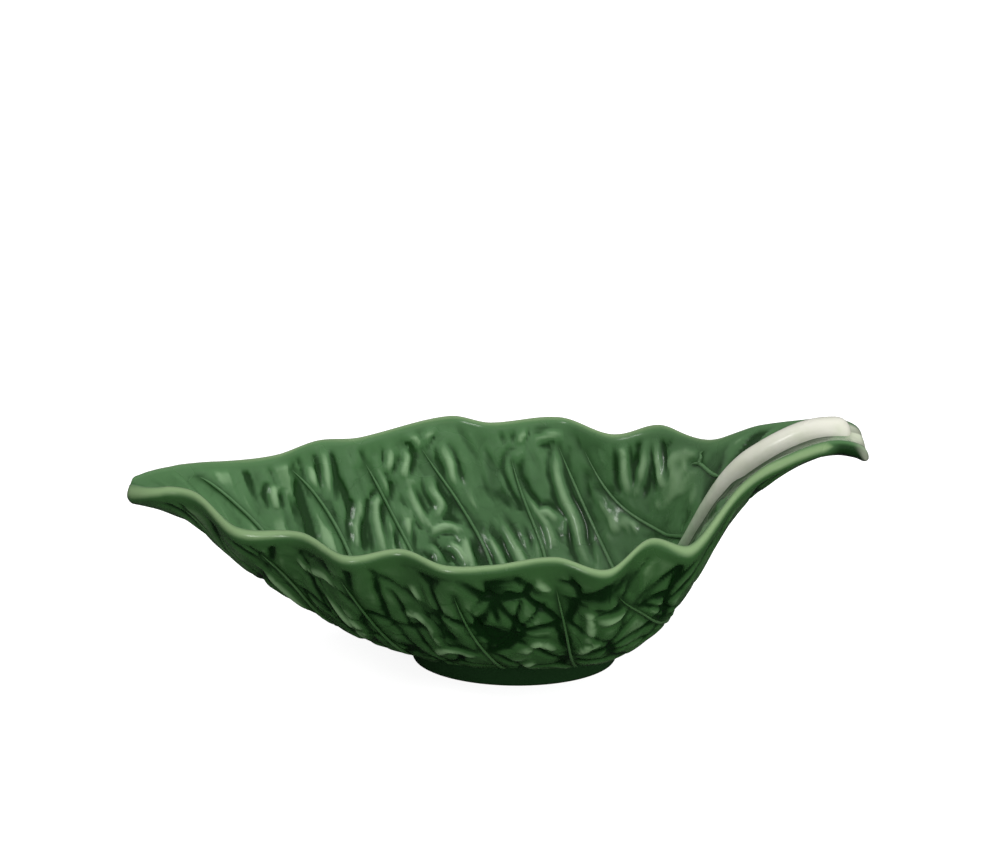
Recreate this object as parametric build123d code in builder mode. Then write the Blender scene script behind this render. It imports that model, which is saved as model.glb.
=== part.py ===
"""Leaf-shaped serving boat in glazed earthenware: a ruffled leaf shell, its foot ring and its stalk.

The frame is the leaf's own: +X runs along the midrib from the pouring tip to the handle, +Y across it,
+Z up, with the origin on the table under the middle of the overall length.
"""

import math
import os

from build123d import *

# Leaf, in millimetres
LENGTH = 247.0  # pouring tip to the end of the handle
BOWL_WIDTH = 130.0  # across the widest part of the bowl, before the ruffle
TIP_WIDTH = 7.0  # across the very end of the pouring tip
HANDLE_WIDTH = 28.0  # across the handle near its end
HANDLE_END_WIDTH = 24.0  # across the very end of the handle
RIM_HEIGHT = 60.0  # mean height of the bowl's rim above the table
TIP_HEIGHT = 56.0  # underside of the pouring tip above the table
TIP_LIP = 0.8  # rim above the underside at the very end of the tip
HANDLE_HEIGHT = 78.0  # underside of the handle at the top of its arch
HANDLE_LIP = 4.5  # turned-up edges of the handle above its underside
FOOT_HEIGHT = 7.5  # underside of the leaf above the table, in the middle of the foot
WALL = 4.6  # thickness of the shell, and so of its rounded edge
HANDLE_WALL = 7.4  # thickness of the handle along its middle
RUFFLE = 1.0  # share of the full ruffle that the rim takes

# Foot ring
FOOT_CENTRE = 7.0  # along X from the origin
FOOT_LENGTH = 70.0
FOOT_WIDTH = 47.0
FOOT_RING = 6.5  # breadth of the ring that stands on the table
FOOT_FLARE = 4.0  # degrees that the foot leans out towards the leaf
FOOT_EDGE = 1.4  # rounding of the standing edge

# Stalk: the pale midrib on the leaf's upper face, from the handle's end down to the floor of the bowl
STALK_WIDTH = 10.0  # on the handle
STALK_TAIL_WIDTH = 3.2  # where it fades into the floor
STALK_RISE = 4.6  # above the leaf, on the handle
STALK_TAIL_RISE = 0.8  # above the leaf, where it fades
STALK_END_GAP = 5.0  # from the stalk's head to the end of the handle
STALK_REACH = 165.0  # along X, from its head to where it fades
STALK_HEAD_WIDTH = 6.5  # across its softened head
STALK_BED = 1.8  # how far the uncut rib dips into the leaf that it is then cut to

# Side veins: round cords half sunk in both faces of the leaf
VEIN_WIDTH = 2.4  # at its root by the midrib
VEIN_END_WIDTH = 1.2  # at its end by the rim
VEIN_BARE = 0.3  # share of each vein's run that is left off the underside, round the foot

# Cross-sections that each form is lofted through, and points that each vein is drawn through
LEAF_SECTIONS = 46
STALK_SECTIONS = 28
VEIN_POINTS = 7
DOME_REACH = 7 / 8  # how far a quartic dome rises towards its upper control points

# Guide lines of the leaf. Each starts with the place along the length, from -0.5 at the tip to 0.5.
# Underside along the midrib: share of the rise from the foot to the tip, and to the top of the handle
KEEL_TO_TIP = [(-0.5, 1.0), (-0.455, 0.955), (-0.406, 0.835), (-0.354, 0.63), (-0.289, 0.393), (-0.216, 0.198),
               (-0.147, 0.08), (-0.074, 0.018), (0.027, 0.0)]
KEEL_TO_HANDLE = [(0.027, 0.0), (0.12, 0.011), (0.185, 0.066), (0.237, 0.203), (0.262, 0.335), (0.286, 0.48),
                  (0.31, 0.622), (0.334, 0.738), (0.383, 0.885), (0.427, 0.972), (0.46, 1.0), (0.484, 0.985),
                  (0.5, 0.955)]
# Rim: share of the way from the bowl's rim to the edge of the tip, and to the edge of the handle
RIM_TO_TIP = [(-0.5, 1.0), (-0.472, 0.35), (-0.44, 0.0)]
RIM_TO_HANDLE = [(0.168, 0.0), (0.229, -0.045), (0.265, 0.0), (0.295, 0.18), (0.325, 0.42), (0.363, 0.69),
                 (0.411, 0.91), (0.452, 1.0), (0.482, 0.92), (0.5, 0.79)]
# Plan: half width as a share of the bowl's, between the tip and the handle
PLAN = [(-0.49, 0.095), (-0.474, 0.145), (-0.439, 0.215), (-0.386, 0.355), (-0.322, 0.51), (-0.236, 0.70),
        (-0.156, 0.855), (-0.054, 0.97), (0.047, 1.0), (0.128, 0.955), (0.201, 0.83), (0.258, 0.645),
        (0.31, 0.44), (0.363, 0.325), (0.411, 0.26)]
# Ruffle of each edge: millimetres outward, millimetres up
RUFFLE_FRONT = [(-0.5, 0, 0), (-0.455, 0, 1.5), (-0.398, -3.5, 2), (-0.334, 4, -3), (-0.247, -3.5, -1.5),
                (-0.184, 4, -2.5), (-0.111, -3.5, 0.5), (-0.054, 3, -0.5), (0.006, 1.5, 0), (0.087, -3, 1),
                (0.156, 5, -2), (0.209, -5, 2), (0.266, 3.5, -4), (0.33, 0, 0), (0.395, 1.2, 0), (0.5, 0, 0)]
RUFFLE_BACK = [(-0.5, 0, 0), (-0.455, 0, 0.5), (-0.378, -0.5, -2), (-0.309, -3.5, -1.5), (-0.257, 2, -1.5),
               (-0.196, -3.5, -0.5), (-0.074, 3.5, 1), (-0.014, -1.5, 0), (0.087, 3, 0.5), (0.163, -3.5, -1),
               (0.234, 4, 4), (0.295, 0, 0.5), (0.351, 2, -2), (0.432, 0, -3.5), (0.5, 0, -2)]
# Thickness along the midrib: 0 is the shell's wall, 1 the handle's
THICKENING = [(0.16, 0.0), (0.24, 0.35), (0.32, 0.9), (0.38, 1.0), (0.44, 1.0), (0.5, 0.6)]
# Stalk: share of its width and rise on the handle, against the share of its reach
STALK_TAPER = [(0.0, 1.0), (0.2, 0.95), (0.32, 0.62), (0.6, 0.3), (1.0, 0.0)]
# How full the section is: 0 is the open V of the pouring tip, 1 the round U of the bowl
FULLNESS = [(-0.398, 0.0), (-0.196, 0.6), (-0.054, 1.0), (0.209, 1.0), (0.31, 0.35), (0.411, 0.0)]
# Control points between keel and rim, each as (share of the half width, share of the rise): V, then U
V_SECTION = [(0.28, 0.0), (0.50, 0.18), (0.78, 0.56)]
U_SECTION = [(0.34, 0.0), (0.66, 0.0), (0.88, 0.43)]
RUFFLE_REACH = [0.0, 0.0, 0.35]  # how much of the rim's ruffle each of them follows
# Side veins of each half: share of the vein's run, place along the leaf, share of the way from keel to rim
VEINS_FRONT = [
    [(0, 0.262, 0.08), (0.5, 0.228, 0.55), (1, 0.17, 0.92)],
    [(0, 0.13, 0.08), (0.5, 0.11, 0.6), (1, 0.09, 0.93)],
    [(0, 0.04, 0.08), (0.5, 0.008, 0.56), (1, -0.042, 0.93)],
    [(0, -0.07, 0.08), (0.5, -0.13, 0.56), (1, -0.19, 0.93)],
    [(0, -0.175, 0.08), (0.5, -0.24, 0.55), (1, -0.3, 0.91)],
    [(0, -0.275, 0.08), (0.5, -0.35, 0.5), (1, -0.415, 0.82)],
]
VEINS_BACK = [
    [(0, 0.268, 0.08), (0.5, 0.236, 0.52), (1, 0.125, 0.94)],
    [(0, 0.19, 0.08), (0.5, 0.156, 0.55), (1, 0.086, 0.93)],
    [(0, 0.09, 0.08), (0.5, 0.066, 0.52), (1, 0.018, 0.9)],
    [(0, 0.015, 0.08), (0.5, -0.018, 0.55), (1, -0.11, 0.93)],
    [(0, -0.075, 0.08), (0.5, -0.125, 0.54), (1, -0.19, 0.92)],
    [(0, -0.17, 0.08), (0.5, -0.218, 0.54), (1, -0.287, 0.92)],
    [(0, -0.275, 0.08), (0.5, -0.345, 0.5), (1, -0.41, 0.84)],
]


def through(points, place, column=1):
    """Value at a place of the smooth curve through the points."""
    places = [point[0] for point in points]
    values = [point[column] for point in points]
    last = len(points) - 1
    if place <= places[0]:
        return values[0]
    if place >= places[last]:
        return values[last]

    def slope(k):
        before = max(k - 1, 0)
        after = min(k + 1, last)
        return (values[after] - values[before]) / (places[after] - places[before])

    i = max(k for k in range(last) if places[k] <= place)
    step = places[i + 1] - places[i]
    t = (place - places[i]) / step
    return (
        (2 * t**3 - 3 * t**2 + 1) * values[i]
        + (t**3 - 2 * t**2 + t) * step * slope(i)
        + (3 * t**2 - 2 * t**3) * values[i + 1]
        + (t**3 - t**2) * step * slope(i + 1)
    )


def keel_height(place):
    """Height of the leaf's underside along the midrib."""
    if place <= KEEL_TO_HANDLE[0][0]:
        return FOOT_HEIGHT + (TIP_HEIGHT - FOOT_HEIGHT) * through(KEEL_TO_TIP, place)
    return FOOT_HEIGHT + (HANDLE_HEIGHT - FOOT_HEIGHT) * through(KEEL_TO_HANDLE, place)


def rim_height(place):
    """Height of the leaf's edge, without its ruffle."""
    if place <= 0:
        return RIM_HEIGHT + (TIP_HEIGHT + TIP_LIP - RIM_HEIGHT) * through(RIM_TO_TIP, place)
    return RIM_HEIGHT + (HANDLE_HEIGHT + HANDLE_LIP - RIM_HEIGHT) * through(RIM_TO_HANDLE, place)


def half_width(place):
    """Half width of the leaf in plan, without its ruffle."""
    tip = (-0.5, TIP_WIDTH / 2)
    bowl = [(p, share * BOWL_WIDTH / 2) for p, share in PLAN]
    handle = [(0.47, HANDLE_WIDTH / 2), (0.5, HANDLE_END_WIDTH / 2)]
    return through([tip, *bowl, *handle], place)


def tilt(line, place, step=0.004):
    """Length along a guide line for each unit of X, because the sections stand square to X."""
    rise = line(place + step) - line(place - step)
    return math.hypot(1, rise / (2 * step * LENGTH))


def midrib_wall(place):
    """Thickness of the leaf along the midrib, in the plane of the section."""
    thickness = WALL + (HANDLE_WALL - WALL) * through(THICKENING, place)
    return thickness * tilt(keel_height, place)


def half_section(place, ruffle):
    """Control points of one half of the underside, (out from the midrib, up), from keel to rim."""
    keel = keel_height(place)
    half = half_width(place)
    swing = RUFFLE * through(ruffle, place)
    rim = rim_height(place) + RUFFLE * through(ruffle, place, column=2)
    full = through(FULLNESS, place)
    points = [(0.0, keel)]
    for (v_out, v_up), (u_out, u_up), follow in zip(V_SECTION, U_SECTION, RUFFLE_REACH):
        out = (v_out + (u_out - v_out) * full) * half + follow * swing
        points.append((out, keel + (v_up + (u_up - v_up) * full) * (rim - keel)))
    points.append((half + swing, rim))
    return points


def through_wall(points, place):
    """The half section moved through the wall, from the underside to the upper face."""
    last = len(points) - 1
    keel_wall = midrib_wall(place)
    rim_wall = WALL * tilt(half_width, place)
    moved = []
    for i, (out, up) in enumerate(points):
        before = points[0 if i < 2 else i - 1]
        after = points[1 if i < 2 else min(i + 1, last)]
        run = after[0] - before[0]
        rise = after[1] - before[1]
        wall = keel_wall + (rim_wall - keel_wall) * i / last
        shift = wall / math.hypot(run, rise)
        moved.append((out - shift * rise, up + shift * run))
    return moved


def edge_crown(under, upper):
    """Crown of the rounded edge between the rims of the two faces."""
    run = under[-1][0] - under[-2][0]
    rise = under[-1][1] - under[-2][1]
    bulge = math.dist(under[-1], upper[-1]) / 2 / math.hypot(run, rise)
    return (
        (under[-1][0] + upper[-1][0]) / 2 + bulge * run,
        (under[-1][1] + upper[-1][1]) / 2 + bulge * rise,
    )


def vein_runs(upper_face):
    """Shares of a vein's run at which it is set on the leaf: on the underside it starts beside the foot."""
    first = 0 if upper_face else VEIN_BARE
    return [first + (1 - first) * point / (VEIN_POINTS - 1) for point in range(VEIN_POINTS)]


def on_face(vein, run, ruffle, side, upper_face):
    """Point of a vein on one face of the leaf."""
    place = through(vein, run)
    share = through(vein, run, column=2)
    controls = half_section(place, ruffle)
    if upper_face:
        controls = through_wall(controls, place)
    last = len(controls) - 1
    weights = [math.comb(last, i) * share**i * (1 - share) ** (last - i) for i in range(last + 1)]
    out = sum(weight * control[0] for weight, control in zip(weights, controls))
    up = sum(weight * control[1] for weight, control in zip(weights, controls))
    return Vector(place * LENGTH, side * out, up)


def across(points, side):
    """Half section points as local (Y, Z), on one side of the midrib."""
    return [(side * out, up) for out, up in points]


# Side veins of both halves, on both faces. Their seams face through the wall, clear of the leaf's surface.
with BuildPart() as side_veins:
    for veins, ruffle, side in ((VEINS_FRONT, RUFFLE_FRONT, -1), (VEINS_BACK, RUFFLE_BACK, 1)):
        for vein in veins:
            for upper_face in (False, True):
                runs = vein_runs(upper_face)
                with BuildLine() as route:
                    Spline(*[on_face(vein, run, ruffle, side, upper_face) for run in runs])
                for end, width in enumerate((VEIN_WIDTH, VEIN_END_WIDTH)):
                    face_points = [on_face(vein, runs[-end], ruffle, side, upper) for upper in (False, True)]
                    wall_way = face_points[1] - face_points[0]
                    with BuildSketch(Plane(route.line @ end, x_dir=wall_way, z_dir=route.line % end)):
                        Circle(width / 2)
                sweep(path=route.line, multisection=True)

# Leaf shell: round-edged U sections, lofted from the pouring tip to the end of the handle, and its side veins
with BuildPart() as leaf_bowl:
    for section in range(LEAF_SECTIONS):
        place = section / (LEAF_SECTIONS - 1) - 0.5
        front_under = half_section(place, RUFFLE_FRONT)
        back_under = half_section(place, RUFFLE_BACK)
        front_upper = through_wall(front_under, place)
        back_upper = through_wall(back_under, place)
        front_edge = [front_upper[-1], edge_crown(front_under, front_upper), front_under[-1]]
        back_edge = [back_under[-1], edge_crown(back_under, back_upper), back_upper[-1]]
        with BuildSketch(Plane.YZ.offset(place * LENGTH)):
            with BuildLine():
                Bezier(*reversed(across(front_under, -1)))
                Bezier(*across(back_under, 1))
                ThreePointArc(*across(back_edge, 1))
                Bezier(*reversed(across(back_upper, 1)))
                Bezier(*across(front_upper, -1))
                ThreePointArc(*across(front_edge, -1))
            make_face()
    loft()
    add(side_veins.part)
leaf_bowl.part.label = "leaf_bowl"

# Foot ring: a flared oval collar, cut on top to the leaf's underside that it is luted to
with BuildPart() as foot_ring:
    with BuildSketch(Plane.XY):
        with Locations((FOOT_CENTRE, 0)):
            Ellipse(FOOT_LENGTH / 2, FOOT_WIDTH / 2)
            Ellipse(FOOT_LENGTH / 2 - FOOT_RING, FOOT_WIDTH / 2 - FOOT_RING, mode=Mode.SUBTRACT)
    extrude(amount=RIM_HEIGHT / 2, taper=-FOOT_FLARE)
    fillet(foot_ring.edges().group_by(Axis.Z)[0], radius=FOOT_EDGE)
    add(leaf_bowl.part, mode=Mode.SUBTRACT)
    add(foot_ring.solids().sort_by(Axis.Z)[0], mode=Mode.REPLACE)
foot_ring.part.label = "foot_ring"

# Stalk: a flat-crowned rib with a rounded head, which tapers down the handle and fades out on the floor
with BuildPart() as stalk:
    for section in range(STALK_SECTIONS):
        share = section / (STALK_SECTIONS - 1)
        size = STALK_HEAD_WIDTH / STALK_WIDTH if section == 0 else 1.0
        place = 0.5 - (STALK_END_GAP + share * STALK_REACH) / LENGTH
        lean = tilt(keel_height, place)
        half = size * (STALK_TAIL_WIDTH + (STALK_WIDTH - STALK_TAIL_WIDTH) * through(STALK_TAPER, share)) / 2
        rise = size * (STALK_TAIL_RISE + (STALK_RISE - STALK_TAIL_RISE) * through(STALK_TAPER, share))
        face = keel_height(place) + midrib_wall(place)
        bed = face - STALK_BED * lean
        crown = bed + (STALK_BED + rise) * lean / DOME_REACH
        with BuildSketch(Plane.YZ.offset(place * LENGTH)):
            with BuildLine():
                Bezier((half, bed), (half, crown), (0, crown), (-half, crown), (-half, bed))
                Line((-half, bed), (half, bed))
            make_face()
    loft()
    add(leaf_bowl.part, mode=Mode.SUBTRACT)
    add(stalk.solids().sort_by(SortBy.VOLUME)[-1], mode=Mode.REPLACE)
stalk.part.label = "stalk"

os.makedirs("parts", exist_ok=True)
for piece in (leaf_bowl, foot_ring, stalk):
    export_step(piece.part, f"parts/{piece.part.label}.step")
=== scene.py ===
"""Looks of a leaf-shaped serving boat in green-glazed earthenware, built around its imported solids.

The leaf is rebuilt as one closed, fine sheet from the same guide lines as the solid. A node tree raises its
folds, puckers and vein furrows. Slim veins, the oval foot and the pale stalk are laid on it. Sizes are in
millimetres and become metres where a mesh is made.
"""

from __future__ import annotations

import logging
import math
from collections.abc import Callable
from dataclasses import dataclass, field, fields
from enum import Enum

import bmesh
import bpy
import numpy as np
from mathutils import Matrix, Vector

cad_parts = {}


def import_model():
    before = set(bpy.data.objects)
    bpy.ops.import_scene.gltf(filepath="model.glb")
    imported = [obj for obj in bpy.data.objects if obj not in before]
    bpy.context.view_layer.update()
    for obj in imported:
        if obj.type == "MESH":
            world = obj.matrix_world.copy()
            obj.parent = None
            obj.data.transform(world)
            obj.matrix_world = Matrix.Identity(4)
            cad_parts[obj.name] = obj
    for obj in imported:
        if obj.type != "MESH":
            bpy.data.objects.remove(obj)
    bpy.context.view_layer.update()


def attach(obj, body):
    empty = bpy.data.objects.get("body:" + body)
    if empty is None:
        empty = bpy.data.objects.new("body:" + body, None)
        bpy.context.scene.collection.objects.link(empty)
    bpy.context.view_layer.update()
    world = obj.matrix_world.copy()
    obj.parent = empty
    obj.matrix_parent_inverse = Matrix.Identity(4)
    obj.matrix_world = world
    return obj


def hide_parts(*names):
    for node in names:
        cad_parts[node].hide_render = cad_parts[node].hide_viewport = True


LOG = logging.getLogger("leaf_boat")
MM = 0.001
BODY = "root"

FAR_FROM_STALK = 20.0  # mark, in millimetres, of what the stalk doesn't reach
FAR_FROM_CREST = 40.0  # mark, in millimetres, of what has no lip

Feed = object  # a node socket, or a value for an unlinked one
Points = tuple[tuple[float, ...], ...]
Span = tuple[float, float]
Colour = tuple[float, float, float]
Noise = tuple[float, float, float]  # scale for each metre, detail and seed
Parts = tuple[np.ndarray, np.ndarray, np.ndarray]  # values on the underside, the upper face and the lip


class Edge(Enum):
    """The two ruffled edges of the leaf, by the sign of their Y."""

    FRONT = -1
    BACK = 1


class Face(Enum):
    """The two faces of the leaf."""

    UNDER = 0
    UPPER = 1


@dataclass(frozen=True)
class GuideLine:
    """A smooth line through given points, each a place along the leaf and one or more values."""

    points: Points

    def at(self, place: np.ndarray, column: int = 1) -> np.ndarray:
        """Reads the line.

        Args:
            place: places along the leaf, from -0.5 at the pouring tip to 0.5 at the handle's end.
            column: which of the points' values is read.

        Returns:
            The value at each place, held level beyond the first and last points.
        """
        table = np.array(self.points, float)
        places, values = table[:, 0], table[:, column]
        slopes = np.gradient(values, places)
        slopes[1:-1] = (values[2:] - values[:-2]) / (places[2:] - places[:-2])
        held = np.clip(place, places[0], places[-1])
        i = np.clip(np.searchsorted(places, held, side="right") - 1, 0, len(places) - 2)
        step = places[i + 1] - places[i]
        t = (held - places[i]) / step
        return (
            (2 * t**3 - 3 * t**2 + 1) * values[i]
            + (t**3 - 2 * t**2 + t) * step * slopes[i]
            + (3 * t**2 - 2 * t**3) * values[i + 1]
            + (t**3 - t**2) * step * slopes[i + 1]
        )


@dataclass(frozen=True)
class LeafForm:
    """The smooth leaf: guide lines along the midrib and the rule for its cross-sections."""

    length: float = 247.0
    bowl_width: float = 130.0
    tip_width: float = 7.0
    handle_width: float = 28.0
    handle_end_width: float = 24.0
    rim_height: float = 60.0
    tip_height: float = 56.0
    tip_lip: float = 0.8
    handle_height: float = 78.0
    handle_lip: float = 4.5
    foot_height: float = 7.5
    wall: float = 4.6
    handle_wall: float = 7.4
    keel_to_tip: GuideLine = GuideLine((
        (-0.5, 1.0), (-0.455, 0.955), (-0.406, 0.835), (-0.354, 0.63), (-0.289, 0.393), (-0.216, 0.198),
        (-0.147, 0.08), (-0.074, 0.018), (0.027, 0.0)))
    keel_to_handle: GuideLine = GuideLine((
        (0.027, 0.0), (0.12, 0.011), (0.185, 0.066), (0.237, 0.203), (0.262, 0.335), (0.286, 0.48),
        (0.31, 0.622), (0.334, 0.738), (0.383, 0.885), (0.427, 0.972), (0.46, 1.0), (0.484, 0.985),
        (0.5, 0.955)))
    rim_to_tip: GuideLine = GuideLine(((-0.5, 1.0), (-0.472, 0.35), (-0.44, 0.0)))
    rim_to_handle: GuideLine = GuideLine((
        (0.168, 0.0), (0.229, -0.045), (0.265, 0.0), (0.295, 0.18), (0.325, 0.42), (0.363, 0.69),
        (0.411, 0.91), (0.452, 1.0), (0.482, 0.92), (0.5, 0.79)))
    plan: Points = (
        (-0.49, 0.095), (-0.474, 0.145), (-0.439, 0.215), (-0.386, 0.355), (-0.322, 0.51), (-0.236, 0.70),
        (-0.156, 0.855), (-0.054, 0.97), (0.047, 1.0), (0.128, 0.955), (0.201, 0.83), (0.258, 0.645),
        (0.31, 0.44), (0.363, 0.325), (0.411, 0.26))
    ruffle_front: GuideLine = GuideLine((
        (-0.5, 0, 0), (-0.455, 0, 1.5), (-0.398, -3.5, 2), (-0.334, 4, -3), (-0.247, -3.5, -1.5),
        (-0.184, 4, -2.5), (-0.111, -3.5, 0.5), (-0.054, 3, -0.5), (0.006, 1.5, 0), (0.087, -3, 1),
        (0.156, 5, -2), (0.209, -5, 2), (0.266, 3.5, -4), (0.33, 0, 0), (0.395, 1.2, 0), (0.5, 0, 0)))
    ruffle_back: GuideLine = GuideLine((
        (-0.5, 0, 0), (-0.455, 0, 0.5), (-0.378, -0.5, -2), (-0.309, -3.5, -1.5), (-0.257, 2, -1.5),
        (-0.196, -3.5, -0.5), (-0.074, 3.5, 1), (-0.014, -1.5, 0), (0.087, 3, 0.5), (0.163, -3.5, -1),
        (0.234, 4, 4), (0.295, 0, 0.5), (0.351, 2, -2), (0.432, 0, -3.5), (0.5, 0, -2)))
    thickening: GuideLine = GuideLine((
        (0.16, 0.0), (0.24, 0.35), (0.32, 0.9), (0.38, 1.0), (0.44, 1.0), (0.5, 0.6)))
    fullness: GuideLine = GuideLine((
        (-0.398, 0.0), (-0.196, 0.6), (-0.054, 1.0), (0.209, 1.0), (0.31, 0.35), (0.411, 0.0)))
    v_section: Points = ((0.28, 0.0), (0.50, 0.18), (0.78, 0.56))
    u_section: Points = ((0.34, 0.0), (0.66, 0.0), (0.88, 0.43))
    ruffle_reach: tuple[float, ...] = (0.0, 0.0, 0.35)
    handle_place: float = 0.47
    section_steps: int = 120

    def keel(self, place: np.ndarray) -> np.ndarray:
        """Reads the underside along the midrib.

        Args:
            place: places along the leaf.

        Returns:
            Its height at each place.
        """
        to_tip = self.foot_height + (self.tip_height - self.foot_height) * self.keel_to_tip.at(place)
        climb = self.handle_height - self.foot_height
        to_handle = self.foot_height + climb * self.keel_to_handle.at(place)
        return np.where(place <= self.keel_to_handle.points[0][0], to_tip, to_handle)

    def rim(self, place: np.ndarray) -> np.ndarray:
        """Reads the edge without its ruffle.

        Args:
            place: places along the leaf.

        Returns:
            Its height at each place.
        """
        tip_edge = self.tip_height + self.tip_lip
        handle_edge = self.handle_height + self.handle_lip
        to_tip = self.rim_height + (tip_edge - self.rim_height) * self.rim_to_tip.at(place)
        to_handle = self.rim_height + (handle_edge - self.rim_height) * self.rim_to_handle.at(place)
        return np.where(place <= 0, to_tip, to_handle)

    def half(self, place: np.ndarray) -> np.ndarray:
        """Reads the plan without its ruffle.

        Args:
            place: places along the leaf.

        Returns:
            Half the width at each place.
        """
        bowl = tuple((p, share * self.bowl_width / 2) for p, share in self.plan)
        handle = ((self.handle_place, self.handle_width / 2), (0.5, self.handle_end_width / 2))
        return GuideLine(((-0.5, self.tip_width / 2), *bowl, *handle)).at(place)

    def midrib_wall(self, place: np.ndarray) -> np.ndarray:
        """Thickness along the midrib, in the plane of the section, at each place."""
        thickness = self.wall + (self.handle_wall - self.wall) * self.thickening.at(place)
        return thickness * self.steepness(self.keel, place)

    def steepness(
        self, line: Callable[[np.ndarray], np.ndarray], place: np.ndarray, step: float = 0.004,
    ) -> np.ndarray:
        """Length along a guide line for each unit of X.

        Args:
            line: the method that reads the guide line.
            place: places along the leaf.
            step: half the stretch over which the slope is taken.

        Returns:
            One factor for each place, 1 where the line is level.
        """
        rise = line(place + step) - line(place - step)
        return np.hypot(1, rise / (2 * step * self.length))

    def under(self, place: np.ndarray, edge: Edge) -> np.ndarray:
        """Control points of one half of the underside.

        Args:
            place: places along the leaf.
            edge: which half.

        Returns:
            An array of (place, five points from keel to rim, out and up).
        """
        ruffle = self.ruffle_front if edge is Edge.FRONT else self.ruffle_back
        keel, half, full = self.keel(place), self.half(place), self.fullness.at(place)
        swing = ruffle.at(place)
        rim = self.rim(place) + ruffle.at(place, column=2)
        points = [np.stack([np.zeros_like(keel), keel], 1)]
        for (v_out, v_up), (u_out, u_up), follow in zip(self.v_section, self.u_section, self.ruffle_reach):
            out = (v_out + (u_out - v_out) * full) * half + follow * swing
            up = keel + (v_up + (u_up - v_up) * full) * (rim - keel)
            points.append(np.stack([out, up], 1))
        points.append(np.stack([half + swing, rim], 1))
        return np.stack(points, 1)

    def upper(self, under: np.ndarray, place: np.ndarray) -> np.ndarray:
        """Control points of the upper face, one wall in from those of the underside.

        Args:
            under: control points of one half of the underside.
            place: the places that they belong to.

        Returns:
            An array of the same shape.
        """
        last = under.shape[1] - 1
        keel_wall = self.midrib_wall(place)
        rim_wall = self.wall * self.steepness(self.half, place)
        upper = np.empty_like(under)
        for i in range(last + 1):
            before = under[:, 0 if i < 2 else i - 1]
            after = under[:, 1 if i < 2 else min(i + 1, last)]
            run, rise = (after - before).T
            shift = (keel_wall + (rim_wall - keel_wall) * i / last) / np.hypot(run, rise)
            upper[:, i] = under[:, i] + np.stack([-shift * rise, shift * run], 1)
        return upper

    @staticmethod
    def curve(control: np.ndarray, shares: np.ndarray) -> np.ndarray:
        """Follows quartic curves from keel to rim.

        Args:
            control: the five control points of each curve.
            shares: shares of the way along them.

        Returns:
            An array of (curve, share, out and up).
        """
        t = shares[:, None]
        s = 1 - t
        basis = np.hstack([s**4, 4 * t * s**3, 6 * t**2 * s**2, 4 * t**3 * s, t**4])
        return np.einsum("mk,nkd->nmd", basis, control)

    def surface(self, place: np.ndarray, share: np.ndarray, edge: Edge, face: Face) -> np.ndarray:
        """Points on one face of the leaf.

        Args:
            place: places along the leaf.
            share: for each place, the share of the way from keel to rim.
            edge: which half.
            face: which face.

        Returns:
            An array of (place, X Y Z) in millimetres.
        """
        control = self.under(place, edge)
        if face is Face.UPPER:
            control = self.upper(control, place)
        points = [self.curve(control[i:i + 1], share[i:i + 1])[0, 0] for i in range(len(place))]
        section = np.stack(points)
        return np.column_stack([place * self.length, edge.value * section[:, 0], section[:, 1]])

    def underside_height(self, x: np.ndarray, y: np.ndarray) -> np.ndarray:
        """Finds the underside over points of the table, for the foot that meets it.

        Args:
            x: X of each point, in millimetres.
            y: Y of each point.

        Returns:
            The underside's height over each point.
        """
        shares = np.linspace(0, 1, self.section_steps)
        place = x / self.length
        heights = np.empty_like(x)
        for i, across in enumerate(y):
            edge = Edge.FRONT if across < 0 else Edge.BACK
            section = self.curve(self.under(place[i:i + 1], edge), shares)[0]
            heights[i] = np.interp(abs(across), section[:, 0], section[:, 1])
        return heights


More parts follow.
